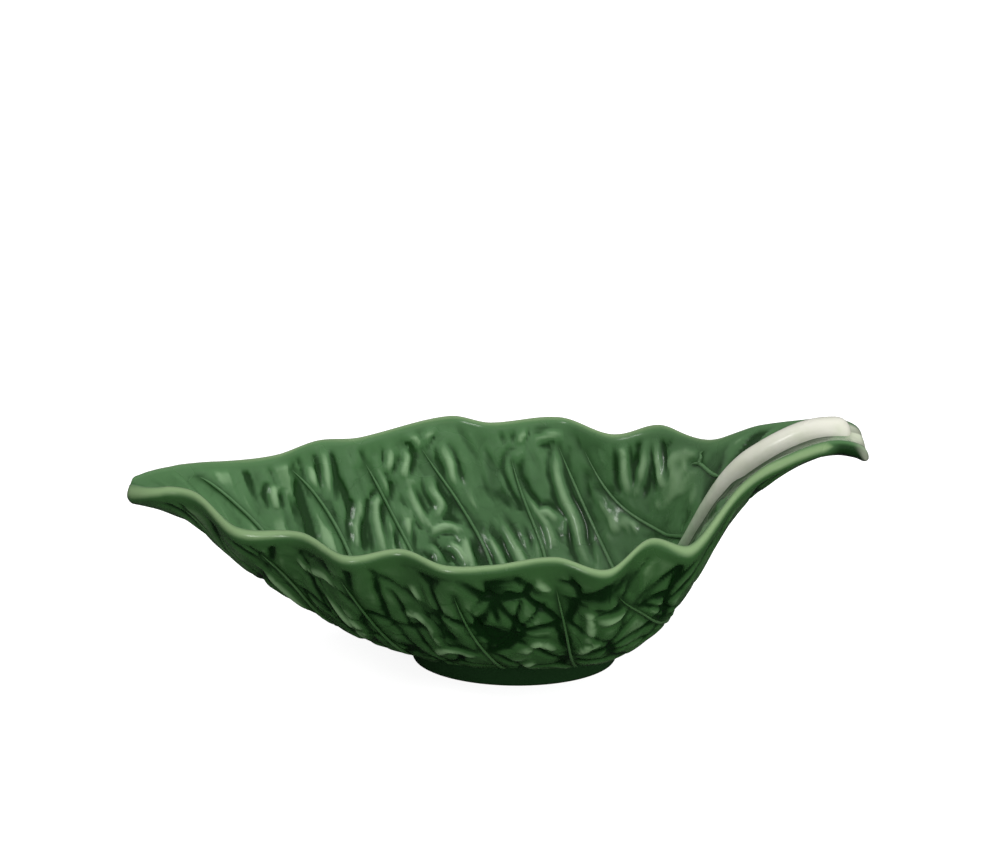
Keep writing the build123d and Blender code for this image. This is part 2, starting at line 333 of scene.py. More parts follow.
class TreeWriter:
    """Adds nodes to a tree and wires them, so that a rule reads as a formula."""

    def __init__(self, tree: bpy.types.NodeTree) -> None:
        """Keeps the tree that is written to."""
        self.tree = tree

    def add(self, kind: str, **settings: object) -> bpy.types.Node:
        """Adds a node.

        Args:
            kind: the node's type.
            settings: its properties, by name.

        Returns:
            The node.
        """
        node = self.tree.nodes.new(kind)
        for name, value in settings.items():
            setattr(node, name, value)
        return node

    def feed(self, socket: bpy.types.NodeSocket, value: Feed) -> None:
        """Links a socket to another, or sets its own value.

        Args:
            socket: the input that is fed.
            value: an output to link to it, or the value to set.
        """
        if isinstance(value, bpy.types.NodeSocket):
            self.tree.links.new(value, socket)
        else:
            socket.default_value = value

    def call(
        self, kind: str, output: int | str = 0, inputs: dict[int | str, Feed] | None = None,
        **settings: object,
    ) -> bpy.types.NodeSocket:
        """Adds a node and feeds it.

        Args:
            kind: the node's type.
            output: which of its outputs to return, by name or number.
            inputs: what its inputs are fed, by name or number.
            settings: its properties, by name.

        Returns:
            That output.
        """
        node = self.add(kind, **settings)
        for key, value in (inputs or {}).items():
            self.feed(node.inputs[key], value)
        return node.outputs[output]

    def math(self, operation: str, *values: Feed) -> bpy.types.NodeSocket:
        """One step of arithmetic on numbers."""
        return self.call("ShaderNodeMath", inputs=dict(enumerate(values)), operation=operation)

    def plus(self, first: Feed, second: Feed) -> bpy.types.NodeSocket:
        """The sum of two numbers."""
        return self.math("ADD", first, second)

    def minus(self, first: Feed, second: Feed) -> bpy.types.NodeSocket:
        """The first number less the second."""
        return self.math("SUBTRACT", first, second)

    def times(self, first: Feed, second: Feed) -> bpy.types.NodeSocket:
        """The product of two numbers."""
        return self.math("MULTIPLY", first, second)

    def over(self, first: Feed, second: Feed) -> bpy.types.NodeSocket:
        """The first number divided by the second."""
        return self.math("DIVIDE", first, second)

    def unsigned(self, value: Feed) -> bpy.types.NodeSocket:
        """A number without its sign."""
        return self.math("ABSOLUTE", value)

    def smooth(self, value: Feed, low: Feed, high: Feed) -> bpy.types.NodeSocket:
        """A soft step from 0 at low to 1 at high, which may be the lower of the two."""
        return self.call(
            "ShaderNodeMapRange", inputs={0: value, 1: low, 2: high}, interpolation_type="SMOOTHSTEP")

    def between(self, start: Feed, end: Feed, share: Feed) -> bpy.types.NodeSocket:
        """The number that lies a share of the way from start to end."""
        return self.call("ShaderNodeMix", inputs={0: share, 2: start, 3: end}, data_type="FLOAT")

    def tint(self, start: Feed, end: Feed, share: Feed) -> bpy.types.NodeSocket:
        """The colour that lies a share of the way from start to end."""
        return self.call("ShaderNodeMix", output=2, inputs={0: share, 6: start, 7: end}, data_type="RGBA")

    def point(self, x: Feed, y: Feed, z: Feed) -> bpy.types.NodeSocket:
        """A vector from three numbers."""
        return self.call("ShaderNodeCombineXYZ", inputs={0: x, 1: y, 2: z})

    def noise(
        self, vector: Feed, scale: Feed, detail: float = 1.0, seed: Feed = 0.0, output: int = 0,
    ) -> bpy.types.NodeSocket:
        """Soft noise with a fixed seed: its value, or its colour as output 1."""
        return self.call(
            "ShaderNodeTexNoise", output=output, noise_dimensions="4D",
            inputs={"Vector": vector, "W": seed, "Scale": scale, "Detail": detail, "Roughness": 0.5})

    def store(self, geometry: Feed, name: str, value: Feed) -> bpy.types.NodeSocket:
        """The geometry with a number kept on its vertices."""
        return self.call("GeometryNodeStoreNamedAttribute", data_type="FLOAT", domain="POINT",
                         inputs={"Geometry": geometry, "Name": name, "Value": value})

    def dressed(self, geometry: Feed, material: Feed) -> bpy.types.NodeSocket:
        """The geometry made real, with its material."""
        realized = self.call("GeometryNodeRealizeInstances", inputs={"Geometry": geometry})
        return self.call("GeometryNodeSetMaterial", inputs={"Geometry": realized, "Material": material})


def new_tree(
    name: str, kind: str, inputs: dict[str, tuple[str, object]], outputs: dict[str, str],
) -> tuple[TreeWriter, bpy.types.Node, bpy.types.Node]:
    """Makes an empty node tree with its interface.

    Args:
        name: the tree's name.
        kind: GeometryNodeTree or ShaderNodeTree.
        inputs: for each input, its socket type and its value, or None.
        outputs: for each output, its socket type.

    Returns:
        The tree's writer, its input node and its output node.
    """
    tree = bpy.data.node_groups.new(name, kind)
    for label, (socket_type, value) in inputs.items():
        socket = tree.interface.new_socket(name=label, in_out="INPUT", socket_type=socket_type)
        if value is not None:
            socket.default_value = value
    for label, socket_type in outputs.items():
        tree.interface.new_socket(name=label, in_out="OUTPUT", socket_type=socket_type)
    writer = TreeWriter(tree)
    return writer, writer.add("NodeGroupInput"), writer.add("NodeGroupOutput")


def apply_tree(piece: bpy.types.Object, tree: bpy.types.NodeTree, inputs: dict[str, object]) -> None:
    """Runs a geometry tree on a piece and keeps the result as its plain mesh.

    Args:
        piece: the object, whose mesh is replaced.
        tree: the geometry tree.
        inputs: values for the tree's inputs, by name.
    """
    modifier = piece.modifiers.new(tree.name, "NODES")
    modifier.node_group = tree
    for item in tree.interface.items_tree:
        if item.item_type == "SOCKET" and item.in_out == "INPUT" and item.name in inputs:
            modifier[item.identifier] = inputs[item.name]
    graph = bpy.context.evaluated_depsgraph_get()
    mesh = bpy.data.meshes.new_from_object(
        piece.evaluated_get(graph), preserve_all_data_layers=True, depsgraph=graph)
    piece.modifiers.remove(modifier)
    old = piece.data
    piece.data = mesh
    bpy.data.meshes.remove(old)
    mesh.name = piece.name


def new_piece(
    name: str, points: np.ndarray, faces: list[tuple[int, ...]], marks: dict[str, np.ndarray] | None = None,
    edges: list[tuple[int, int]] | None = None,
) -> bpy.types.Object:
    """Makes a mesh object from points in millimetres.

    Args:
        name: the piece's name.
        points: one X Y Z for each vertex.
        faces: vertex numbers of each face.
        marks: numbers kept on the vertices, by attribute name.
        edges: loose edges.

    Returns:
        The object, linked to the scene, smooth shaded and with its faces pointing outwards.
    """
    mesh = bpy.data.meshes.new(name)
    mesh.from_pydata((points * MM).tolist(), edges or [], faces)
    for label, values in (marks or {}).items():
        mesh.attributes.new(label, "FLOAT", "POINT").data.foreach_set("value", values.astype(np.float32))
    if faces:
        shell = bmesh.new()
        shell.from_mesh(mesh)
        bmesh.ops.recalc_face_normals(shell, faces=shell.faces)
        shell.to_mesh(mesh)
        shell.free()
        mesh.shade_smooth()
    piece = bpy.data.objects.new(name, mesh)
    bpy.context.scene.collection.objects.link(piece)
    return piece


def loft_faces(rings: int, around: int) -> list[tuple[int, ...]]:
    """Joins closed rings of points with quads.

    Args:
        rings: how many rings there are.
        around: how many points each ring has, numbered ring by ring.

    Returns:
        The vertex numbers of each quad.
    """
    faces = []
    for i in range(rings - 1):
        for j in range(around):
            k = (j + 1) % around
            faces.append((i * around + j, i * around + k, (i + 1) * around + k, (i + 1) * around + j))
    return faces


@dataclass(frozen=True)
class ReliefRule:
    """Sizes, in millimetres, of what is raised on the leaf and sunk into it.

    They become inputs of the tree. The names in capitals are levels, shares and noise settings, which stay
    fixed.
    """

    fold_height: float = 1.15
    fold_width: float = 2.6
    fold_trench: float = 0.9
    pleat_height: float = 1.0
    pleat_width: float = 6.5
    pleat_length: float = 27.0
    pleat_lean: float = 0.42
    crumple_height: float = 0.6
    crumple_size: float = 9.0
    cell_height: float = 0.85
    cell_groove: float = 1.1
    cell_size: float = 14.5
    cell_lean: float = 0.35
    warp: float = 7.0
    warp_size: float = 16.0
    crease_depth: float = 1.2
    crease_width: float = 1.5
    furrow_depth: float = 0.45
    furrow_width: float = 3.0
    rib_height: float = 0.5
    rib_width: float = 4.5
    stalk_pool: float = 2.0
    seed: float = 4.0

    # Offsets in the noise, so that halves, faces and kinds of relief differ
    HALF_LAYER = 61.0
    FACE_LAYER = 173.0
    FACE_LIFT = 90.0
    PATCH_TURN = 3.0
    DEPTH_TURN = 5.0
    CRUMPLE_TURN = 9.0
    UNEVEN_TURN = 11.0

    # Detail of the noise, and its scale for each millimetre where no size above sets it
    DRIFT_DETAIL = 1.5
    PLEAT_DETAIL = 1.8
    PATCH_SCALE = 0.035
    DEPTH_SCALE = 0.07
    UNEVEN_SCALE = 0.16

    # Levels that a rise or a groove runs between, from nothing to full
    PLEAT_CREST = (0.52, 0.63)
    PLEAT_TROUGH = (0.48, 0.38)
    PATCH_EDGE = (0.36, 0.56)
    PUFF_BORDER = (0.0, 0.18)
    GROOVE_BORDER = (0.1, 0.0)
    DEPTH_EDGE = (0.38, 0.56)
    POOL_FROM_STALK = (7.5, 1.5)
    POOL_START = (25.0, 80.0)
    POOL_END = (114.0, 107.0)

    # Shares of a height, a depth or a width, first where what sets them is 0 and then where it is 1
    PATCH_SHARES = (0.4, 1.0)
    DEPTH_SHARES = (0.2, 1.0)
    UNEVEN_SHARES = (0.55, 1.45)
    TRENCH_SHARES = (0.35, 1.0)
    BESIDE_FOLD_SHARES = (1.0, 0.45)

    # A puff's middle level, and places beside a fold in its widths
    PUFF_MIDDLE = 0.55
    TRENCH_AT = 1.2
    TRENCH_WIDTH = 0.8
    FOLD_REACH = 2.6

    def tree(self) -> bpy.types.NodeTree:
        """Builds the geometry tree that raises the leaf's relief and marks it for the glaze.

        Returns:
            A tree with the sizes above as named inputs, objects for the lines, and a material.
        """
        names = [item.name for item in fields(self)]
        labels = {name: name.replace("_", " ").capitalize() for name in names}
        drawings = {name: ("NodeSocketObject", None) for name in ("Veins", "Folds", "Creases")}
        w, given, result = new_tree(
            "leaf_relief", "GeometryNodeTree",
            {"Geometry": ("NodeSocketGeometry", None), **drawings, "Glaze": ("NodeSocketMaterial", None),
             **{labels[name]: ("NodeSocketFloat", getattr(self, name)) for name in names}},
            {"Geometry": "NodeSocketGeometry"})
        size = {name: given.outputs[labels[name]] for name in names}

        def mark(label: str) -> bpy.types.NodeSocket:
            """Reads a number kept on the leaf's vertices."""
            return w.call("GeometryNodeInputNamedAttribute", inputs={"Name": label}, data_type="FLOAT")

        def drawn(label: str) -> bpy.types.NodeSocket:
            """The lines of an input object."""
            return w.call("GeometryNodeObjectInfo", output="Geometry",
                          inputs={"Object": given.outputs[label]})

        def away(label: str) -> bpy.types.NodeSocket:
            """Distance from the nearest of some lines, in millimetres."""
            distance = w.call("GeometryNodeProximity", output="Distance", inputs={0: drawn(label)},
                              target_element="EDGES")
            return w.over(distance, MM)

        def strength(label: str) -> bpy.types.NodeSocket:
            """Reads the strength kept on the nearest point of some lines.

            Args:
                label: the input that holds the lines.

            Returns:
                The strength at each vertex of the leaf.
            """
            lines = drawn(label)
            nearest = w.call("GeometryNodeSampleNearest", inputs={"Geometry": lines}, domain="POINT")
            return w.call("GeometryNodeSampleIndex", data_type="FLOAT", domain="POINT",
                          inputs={"Geometry": lines, "Value": mark("strength"), "Index": nearest})

        def seeded(vector: Feed, scale: Feed, detail: float, turn: float) -> bpy.types.NodeSocket:
            """Soft noise from the tree's seed and a turn of its own."""
            return w.noise(vector, scale, detail, w.plus(size["seed"], turn))

        along, across, face, calm = mark("along"), mark("across"), mark("face"), mark("calm")
        side = w.math("SIGN", across)
        layer = w.plus(w.times(side, self.HALF_LAYER), w.times(face, self.FACE_LAYER))

        # Both coordinates wander, so that nothing runs straight
        where = w.point(along, across, w.times(face, self.FACE_LIFT))
        drift = w.add("ShaderNodeSeparateXYZ")
        drift_scale = w.over(1.0, size["warp_size"])
        w.feed(drift.inputs[0], w.noise(where, drift_scale, self.DRIFT_DETAIL, size["seed"], output=1))
        wander = [w.times(w.minus(drift.outputs[i], 0.5), size["warp"]) for i in (0, 1)]
        a = w.plus(along, wander[0])
        c = w.plus(w.unsigned(across), wander[1])

        # Upper face: soft pleats that climb the wall and lean towards the tip, between patches left plain
        pleat_at = w.point(
            w.over(w.math("MULTIPLY_ADD", c, size["pleat_lean"], a), size["pleat_width"]),
            w.over(c, size["pleat_length"]), layer)
        wave = seeded(pleat_at, 1.0, self.PLEAT_DETAIL, 0.0)
        pleat = w.minus(w.smooth(wave, *self.PLEAT_CREST), w.smooth(wave, *self.PLEAT_TROUGH))
        plain = seeded(where, self.PATCH_SCALE, 0.0, self.PATCH_TURN)
        patch = w.between(*self.PATCH_SHARES, w.smooth(plain, *self.PATCH_EDGE))
        pleats = w.times(pleat, w.times(patch, size["pleat_height"]))
        crumple_at = w.point(
            w.over(a, size["crumple_size"]), w.over(c, size["crumple_size"]), layer)
        crumple = w.minus(seeded(crumple_at, 1.0, 1.0, self.CRUMPLE_TURN), 0.5)
        crumples = w.times(crumple, w.times(size["crumple_height"], 2.0))
        upper = w.plus(crumples, pleats)

        # Underside: puffed cells between dark grooves
        cell_at = w.point(
            w.over(w.math("MULTIPLY_ADD", c, size["cell_lean"], a), size["cell_size"]),
            w.over(c, size["cell_size"]), layer)
        border = w.call("ShaderNodeTexVoronoi", output="Distance", inputs={"Vector": cell_at, "Scale": 1.0},
                        feature="DISTANCE_TO_EDGE", voronoi_dimensions="3D")
        swell = w.minus(w.smooth(border, *self.PUFF_BORDER), self.PUFF_MIDDLE)
        puff = w.times(swell, size["cell_height"])
        deep = seeded(where, self.DEPTH_SCALE, 1.0, self.DEPTH_TURN)
        depth = w.between(*self.DEPTH_SHARES, w.smooth(deep, *self.DEPTH_EDGE))
        groove = w.times(w.times(w.smooth(border, *self.GROOVE_BORDER), depth), size["cell_groove"])
        under = w.plus(crumples, w.minus(puff, groove))

        # Folds stand up between two trenches, and creases sink in. Both fade out at their ends.
        uneven = w.between(*self.UNEVEN_SHARES, seeded(where, self.UNEVEN_SCALE, 1.0, self.UNEVEN_TURN))
        breadth = w.times(size["fold_width"], uneven)
        from_fold, fold_strength = away("Folds"), strength("Folds")
        ridge = w.times(w.smooth(from_fold, breadth, 0.0), size["fold_height"])
        beside = w.unsigned(w.minus(from_fold, w.times(breadth, self.TRENCH_AT)))
        hollow = w.smooth(beside, w.times(breadth, self.TRENCH_WIDTH), 0.0)
        trench = w.times(hollow, w.times(size["fold_trench"], w.between(*self.TRENCH_SHARES, face)))
        fold = w.times(w.minus(ridge, trench), fold_strength)
        by_fold = w.smooth(from_fold, w.times(breadth, self.FOLD_REACH), breadth)
        cut = w.smooth(away("Creases"), w.times(size["crease_width"], uneven), 0.0)
        crease = w.times(cut, w.times(size["crease_depth"], strength("Creases")))
        wild = w.times(w.between(under, upper, face), w.between(*self.BESIDE_FOLD_SHARES, by_fold))
        laid = w.minus(w.plus(wild, fold), crease)

        # Veins lie in shallow furrows, which calm everything beside them
        near = w.smooth(away("Veins"), size["furrow_width"], 0.0)
        relief = w.between(laid, w.times(size["furrow_depth"], -1.0), near)

        # The two halves meet in a low rib along the keel
        keel = w.smooth(w.unsigned(across), size["rib_width"], 0.0)
        relief = w.times(w.between(relief, size["rib_height"], keel), calm)

        normal = w.call("GeometryNodeInputNormal")
        offset = w.call("ShaderNodeVectorMath", inputs={0: normal, 3: w.times(relief, MM)},
                        operation="SCALE")

        # The glaze pools beside the stalk on the handle, so its mark lies lower there than the clay
        flat = mark("along_flat")
        by_handle = w.times(w.smooth(flat, *self.POOL_START), w.smooth(flat, *self.POOL_END))
        at_handle = w.times(by_handle, size["stalk_pool"])
        pooled = w.times(w.smooth(mark("from_stalk"), *self.POOL_FROM_STALK), at_handle)
        stored = w.store(given.outputs["Geometry"], "relief", w.minus(relief, pooled))
        raised = w.call("GeometryNodeSetPosition", inputs={"Geometry": stored, "Offset": offset})
        w.feed(result.inputs["Geometry"], w.dressed(raised, given.outputs["Glaze"]))
        return w.tree


@dataclass(frozen=True)
class LeafLine:
    """A line over the leaf, as points of (place along it, share of the way from keel to rim)."""

    points: Points
    waver: float = 0.0005
    turns: float = 3.0
    phase: float = 100.0

    def trace(self, form: LeafForm, face: Face, edge: Edge, count: int, first: float = 0.0) -> np.ndarray:
        """Follows the line over one half of one face.

        Args:
            form: the leaf.
            face: which face.
            edge: which half.
            count: how many points to return.
            first: share of the line's run that is left off at its start.

        Returns:
            Points in millimetres.
        """
        run = np.linspace(0, 1, len(self.points))
        table = GuideLine(tuple((t, *point) for t, point in zip(run, self.points)))
        fine = np.linspace(first, 1, count)
        wave = self.waver * np.sin(self.turns * math.pi * fine + self.points[0][0] * self.phase)
        return form.surface(table.at(fine) + wave, table.at(fine, column=2), edge, face)


def line_piece(
    name: str, traced: list[np.ndarray], marks: dict[str, list[np.ndarray]],
) -> bpy.types.Object:
    """Makes lines into one object of loose edges.

    Args:
        name: the object's name.
        traced: the points of each line.
        marks: numbers for the points of each line, by attribute name.

    Returns:
        The object.
    """
    edges, first = [], 0
    for points in traced:
        edges += [(first + i, first + i + 1) for i in range(len(points) - 1)]
        first += len(points)
    joined = {label: np.concatenate(values) for label, values in marks.items()}
    return new_piece(name, np.concatenate(traced), [], joined, edges)


@dataclass(frozen=True)
class Puckers:
    """The larger folds and creases between the veins, laid one by one on one half and mirrored to the other.
    """

    upper_folds: tuple[Points, ...] = (
        ((0.222, 0.99), (0.227, 0.9), (0.234, 0.78)),
        ((0.212, 0.99), (0.207, 0.9), (0.197, 0.78)),
        ((0.176, 0.99), (0.18, 0.9), (0.186, 0.8)),
        ((0.05, 0.955), (0.07, 0.965), (0.092, 0.97)),
        ((0.089, 0.95), (0.083, 0.87), (0.092, 0.78), (0.11, 0.69), (0.118, 0.58), (0.13, 0.45)),
        ((0.034, 0.93), (0.016, 0.89), (0.026, 0.81), (0.045, 0.74), (0.07, 0.66), (0.082, 0.55)),
        ((-0.006, 0.7), (0.016, 0.6), (0.032, 0.5), (0.044, 0.36)),
        ((-0.024, 0.64), (-0.009, 0.57), (0.006, 0.49), (0.016, 0.36)),
        ((-0.05, 0.6), (-0.042, 0.52), (-0.034, 0.42)),
        ((-0.085, 0.94), (-0.071, 0.86), (-0.066, 0.8)),
        ((-0.102, 0.84), (-0.094, 0.78), (-0.084, 0.73), (-0.09, 0.68)),
        ((-0.132, 0.8), (-0.119, 0.73), (-0.107, 0.67), (-0.099, 0.63)),
        ((-0.13, 0.69), (-0.132, 0.6), (-0.126, 0.48)),
        ((-0.155, 0.95), (-0.16, 0.87)),
        ((-0.177, 0.95), (-0.163, 0.81), (-0.175, 0.74), (-0.17, 0.6), (-0.16, 0.46)),
        ((-0.196, 0.78), (-0.2, 0.66), (-0.198, 0.5)),
        ((-0.267, 0.92), (-0.262, 0.85), (-0.255, 0.76)),
        ((-0.308, 0.85), (-0.312, 0.77), (-0.308, 0.66)),
        ((-0.137, 0.99), (-0.121, 0.97), (-0.107, 0.91)),
        ((-0.09, 0.99), (-0.1, 0.98), (-0.109, 0.96)),
        ((-0.1, 0.61), (-0.078, 0.645), (-0.052, 0.63)),
        ((-0.072, 0.57), (-0.056, 0.53), (-0.04, 0.46)),
        ((-0.1, 0.56), (-0.088, 0.52), (-0.078, 0.45)),
        ((0.033, 1.0), (0.03, 0.95)),
        ((0.046, 0.7), (0.069, 0.71), (0.085, 0.67)),
        ((0.046, 0.68), (0.058, 0.59), (0.065, 0.5)),
        ((-0.137, 0.94), (-0.133, 0.9), (-0.139, 0.85)),
        ((-0.25, 0.98), (-0.243, 0.87), (-0.242, 0.74)),
    )
    under_folds: tuple[Points, ...] = (
        ((0.184, 0.86), (0.172, 0.83), (0.141, 0.84)),
        ((0.132, 0.9), (0.134, 0.82), (0.132, 0.72)),
        ((0.045, 0.65), (0.067, 0.71), (0.09, 0.66)),
        ((0.118, 0.64), (0.13, 0.69), (0.15, 0.72)),
        ((-0.097, 0.93), (-0.085, 0.87)),
        ((-0.112, 0.79), (-0.085, 0.8), (-0.06, 0.68)),
        ((-0.015, 0.62), (-0.05, 0.66), (-0.07, 0.6)),
        ((-0.22, 0.85), (-0.19, 0.68), (-0.16, 0.5)),
        ((-0.31, 0.8), (-0.28, 0.6), (-0.24, 0.38)),
        ((0.061, 0.96), (0.076, 0.93), (0.097, 0.92)),
        ((0.044, 0.53), (0.061, 0.57)),
        ((-0.252, 0.93), (-0.236, 0.88), (-0.211, 0.91), (-0.191, 0.87)),
        ((-0.193, 0.76), (-0.175, 0.66), (-0.162, 0.55)),
    )
    under_creases: tuple[Points, ...] = (
        ((0.06, 0.96), (0.046, 0.91), (0.037, 0.81), (0.03, 0.68)),
        ((-0.02, 0.88), (0.0, 0.93), (0.025, 0.94), (0.046, 0.91)),
        ((0.04, 0.78), (0.06, 0.84), (0.078, 0.89)),
        ((0.198, 0.8), (0.23, 0.7), (0.256, 0.55)),
        ((0.16, 0.62), (0.2, 0.56), (0.235, 0.42)),
        ((-0.13, 0.9), (-0.115, 0.84), (-0.1, 0.72)),
        ((-0.245, 0.86), (-0.21, 0.7), (-0.185, 0.5)),
        ((-0.025, 0.89), (-0.012, 0.82), (-0.012, 0.72)),
        ((0.085, 0.97), (0.103, 0.96), (0.124, 0.96)),
        ((0.19, 0.82), (0.218, 0.74), (0.239, 0.68)),
        ((0.009, 0.9), (0.015, 0.82)),
    )
    steps: int = 24
    fade: float = 0.55

    def build(self, form: LeafForm) -> dict[str, bpy.types.Object]:
        """Lays the lines on both halves.

        Args:
            form: the leaf.

        Returns:
            Objects for the folds and for the creases, by the name of the relief's input.
        """
        def laid(lines: tuple[Points, ...], face: Face) -> list[np.ndarray]:
            """Traces lines on both halves of a face."""
            return [LeafLine(points).trace(form, face, edge, self.steps) for points in lines for edge in Edge]

        def piece(name: str, traced: list[np.ndarray]) -> bpy.types.Object:
            """Makes lines that fade at both ends into one object."""
            fade = np.sin(math.pi * np.linspace(0, 1, self.steps)) ** self.fade
            return line_piece(name, traced, {"strength": [fade for _ in traced]})

        folds = laid(self.upper_folds, Face.UPPER) + laid(self.under_folds, Face.UNDER)
        return {"Folds": piece("fold_lines", folds),
                "Creases": piece("crease_lines", laid(self.under_creases, Face.UNDER))}


@dataclass
class VeinNetwork:
    """The leaf's side veins, the same lines as in the solid, and two short ones beside the stalk."""

    form: LeafForm
    front: tuple[Points, ...] = (
        ((0.262, 0.08), (0.228, 0.55), (0.17, 0.92)),
        ((0.13, 0.08), (0.11, 0.6), (0.09, 0.93)),
        ((0.04, 0.08), (0.008, 0.56), (-0.042, 0.93)),
        ((-0.07, 0.08), (-0.13, 0.56), (-0.19, 0.93)),
        ((-0.175, 0.08), (-0.24, 0.55), (-0.3, 0.91)),
        ((-0.275, 0.08), (-0.35, 0.5), (-0.415, 0.82)),
    )
    back: tuple[Points, ...] = (
        ((0.268, 0.08), (0.236, 0.52), (0.125, 0.94)),
        ((0.19, 0.08), (0.156, 0.55), (0.086, 0.93)),
        ((0.09, 0.08), (0.066, 0.52), (0.018, 0.9)),
        ((0.015, 0.08), (-0.018, 0.55), (-0.11, 0.93)),
        ((-0.075, 0.08), (-0.125, 0.54), (-0.19, 0.92)),
        ((-0.17, 0.08), (-0.218, 0.54), (-0.287, 0.92)),
        ((-0.275, 0.08), (-0.345, 0.5), (-0.41, 0.84)),
    )
    stubs: tuple[Points, ...] = (
        ((0.31, 0.48), (0.29, 0.81), (0.283, 0.87), (0.271, 0.88)),
        ((0.285, 0.86), (0.284, 0.92), (0.288, 0.97)),
    )
    waver: float = 0.0013
    bare: float = 0.3
    root_radius: float = 0.85
    end_radius: float = 0.42
    under_slim: float = 0.75
    sharpness: float = 2.5
    steps: int = 44
    sides: int = 8
    glaze_level: float = 0.35

    def build(self) -> bpy.types.Object:
        """Makes the veins as loose edges on both faces, with a radius on each point.

        Returns:
            An object that the relief and the vein cords are made from.
        """
        traced, radii, faces = [], [], []
        ends = np.minimum(1, np.sin(math.pi * np.linspace(0.01, 0.99, self.steps)) * self.sharpness)
        taper = ends * np.linspace(self.root_radius, self.end_radius, self.steps)
        for face in Face:
            inside = face is Face.UPPER
            for edge, veins in ((Edge.FRONT, self.front), (Edge.BACK, self.back)):
                for vein in veins + self.stubs if inside else veins:
                    line = LeafLine(vein, self.waver)
                    traced.append(line.trace(self.form, face, edge, self.steps, 0.0 if inside else self.bare))
                    radii.append(taper * (1.0 if inside else self.under_slim))
                    faces.append(np.full(self.steps, float(face.value)))
        return line_piece("side_veins", traced, {"vein_radius": radii, "face": faces})

    def cord_tree(self) -> bpy.types.NodeTree:
        """Builds the geometry tree that turns vein lines into slim tapering cords.

        Returns:
            A tree with the profile's sides, the height that the glaze reads and a material as inputs.
        """
        w, given, result = new_tree(
            "vein_cords", "GeometryNodeTree",
            {"Geometry": ("NodeSocketGeometry", None), "Sides": ("NodeSocketInt", self.sides),
             "Height": ("NodeSocketFloat", self.glaze_level), "Glaze": ("NodeSocketMaterial", None)},
            {"Geometry": "NodeSocketGeometry"})
        radius = w.call("GeometryNodeInputNamedAttribute", inputs={"Name": "vein_radius"},
                        data_type="FLOAT")
        lines = w.call("GeometryNodeMeshToCurve", inputs={"Mesh": given.outputs["Geometry"]})
        ring = w.call("GeometryNodeCurvePrimitiveCircle", output="Curve",
                      inputs={"Resolution": given.outputs["Sides"], "Radius": MM})
        cords = w.call("GeometryNodeCurveToMesh",
                       inputs={"Curve": lines, "Profile Curve": ring, "Scale": radius, "Fill Caps": True})
        smooth = w.call("GeometryNodeSetShadeSmooth", inputs={"Geometry": cords})
        marked = w.store(smooth, "relief", given.outputs["Height"])
        far = w.store(marked, "from_crest", FAR_FROM_CREST)
        w.feed(result.inputs["Geometry"], w.dressed(far, given.outputs["Glaze"]))
        return w.tree


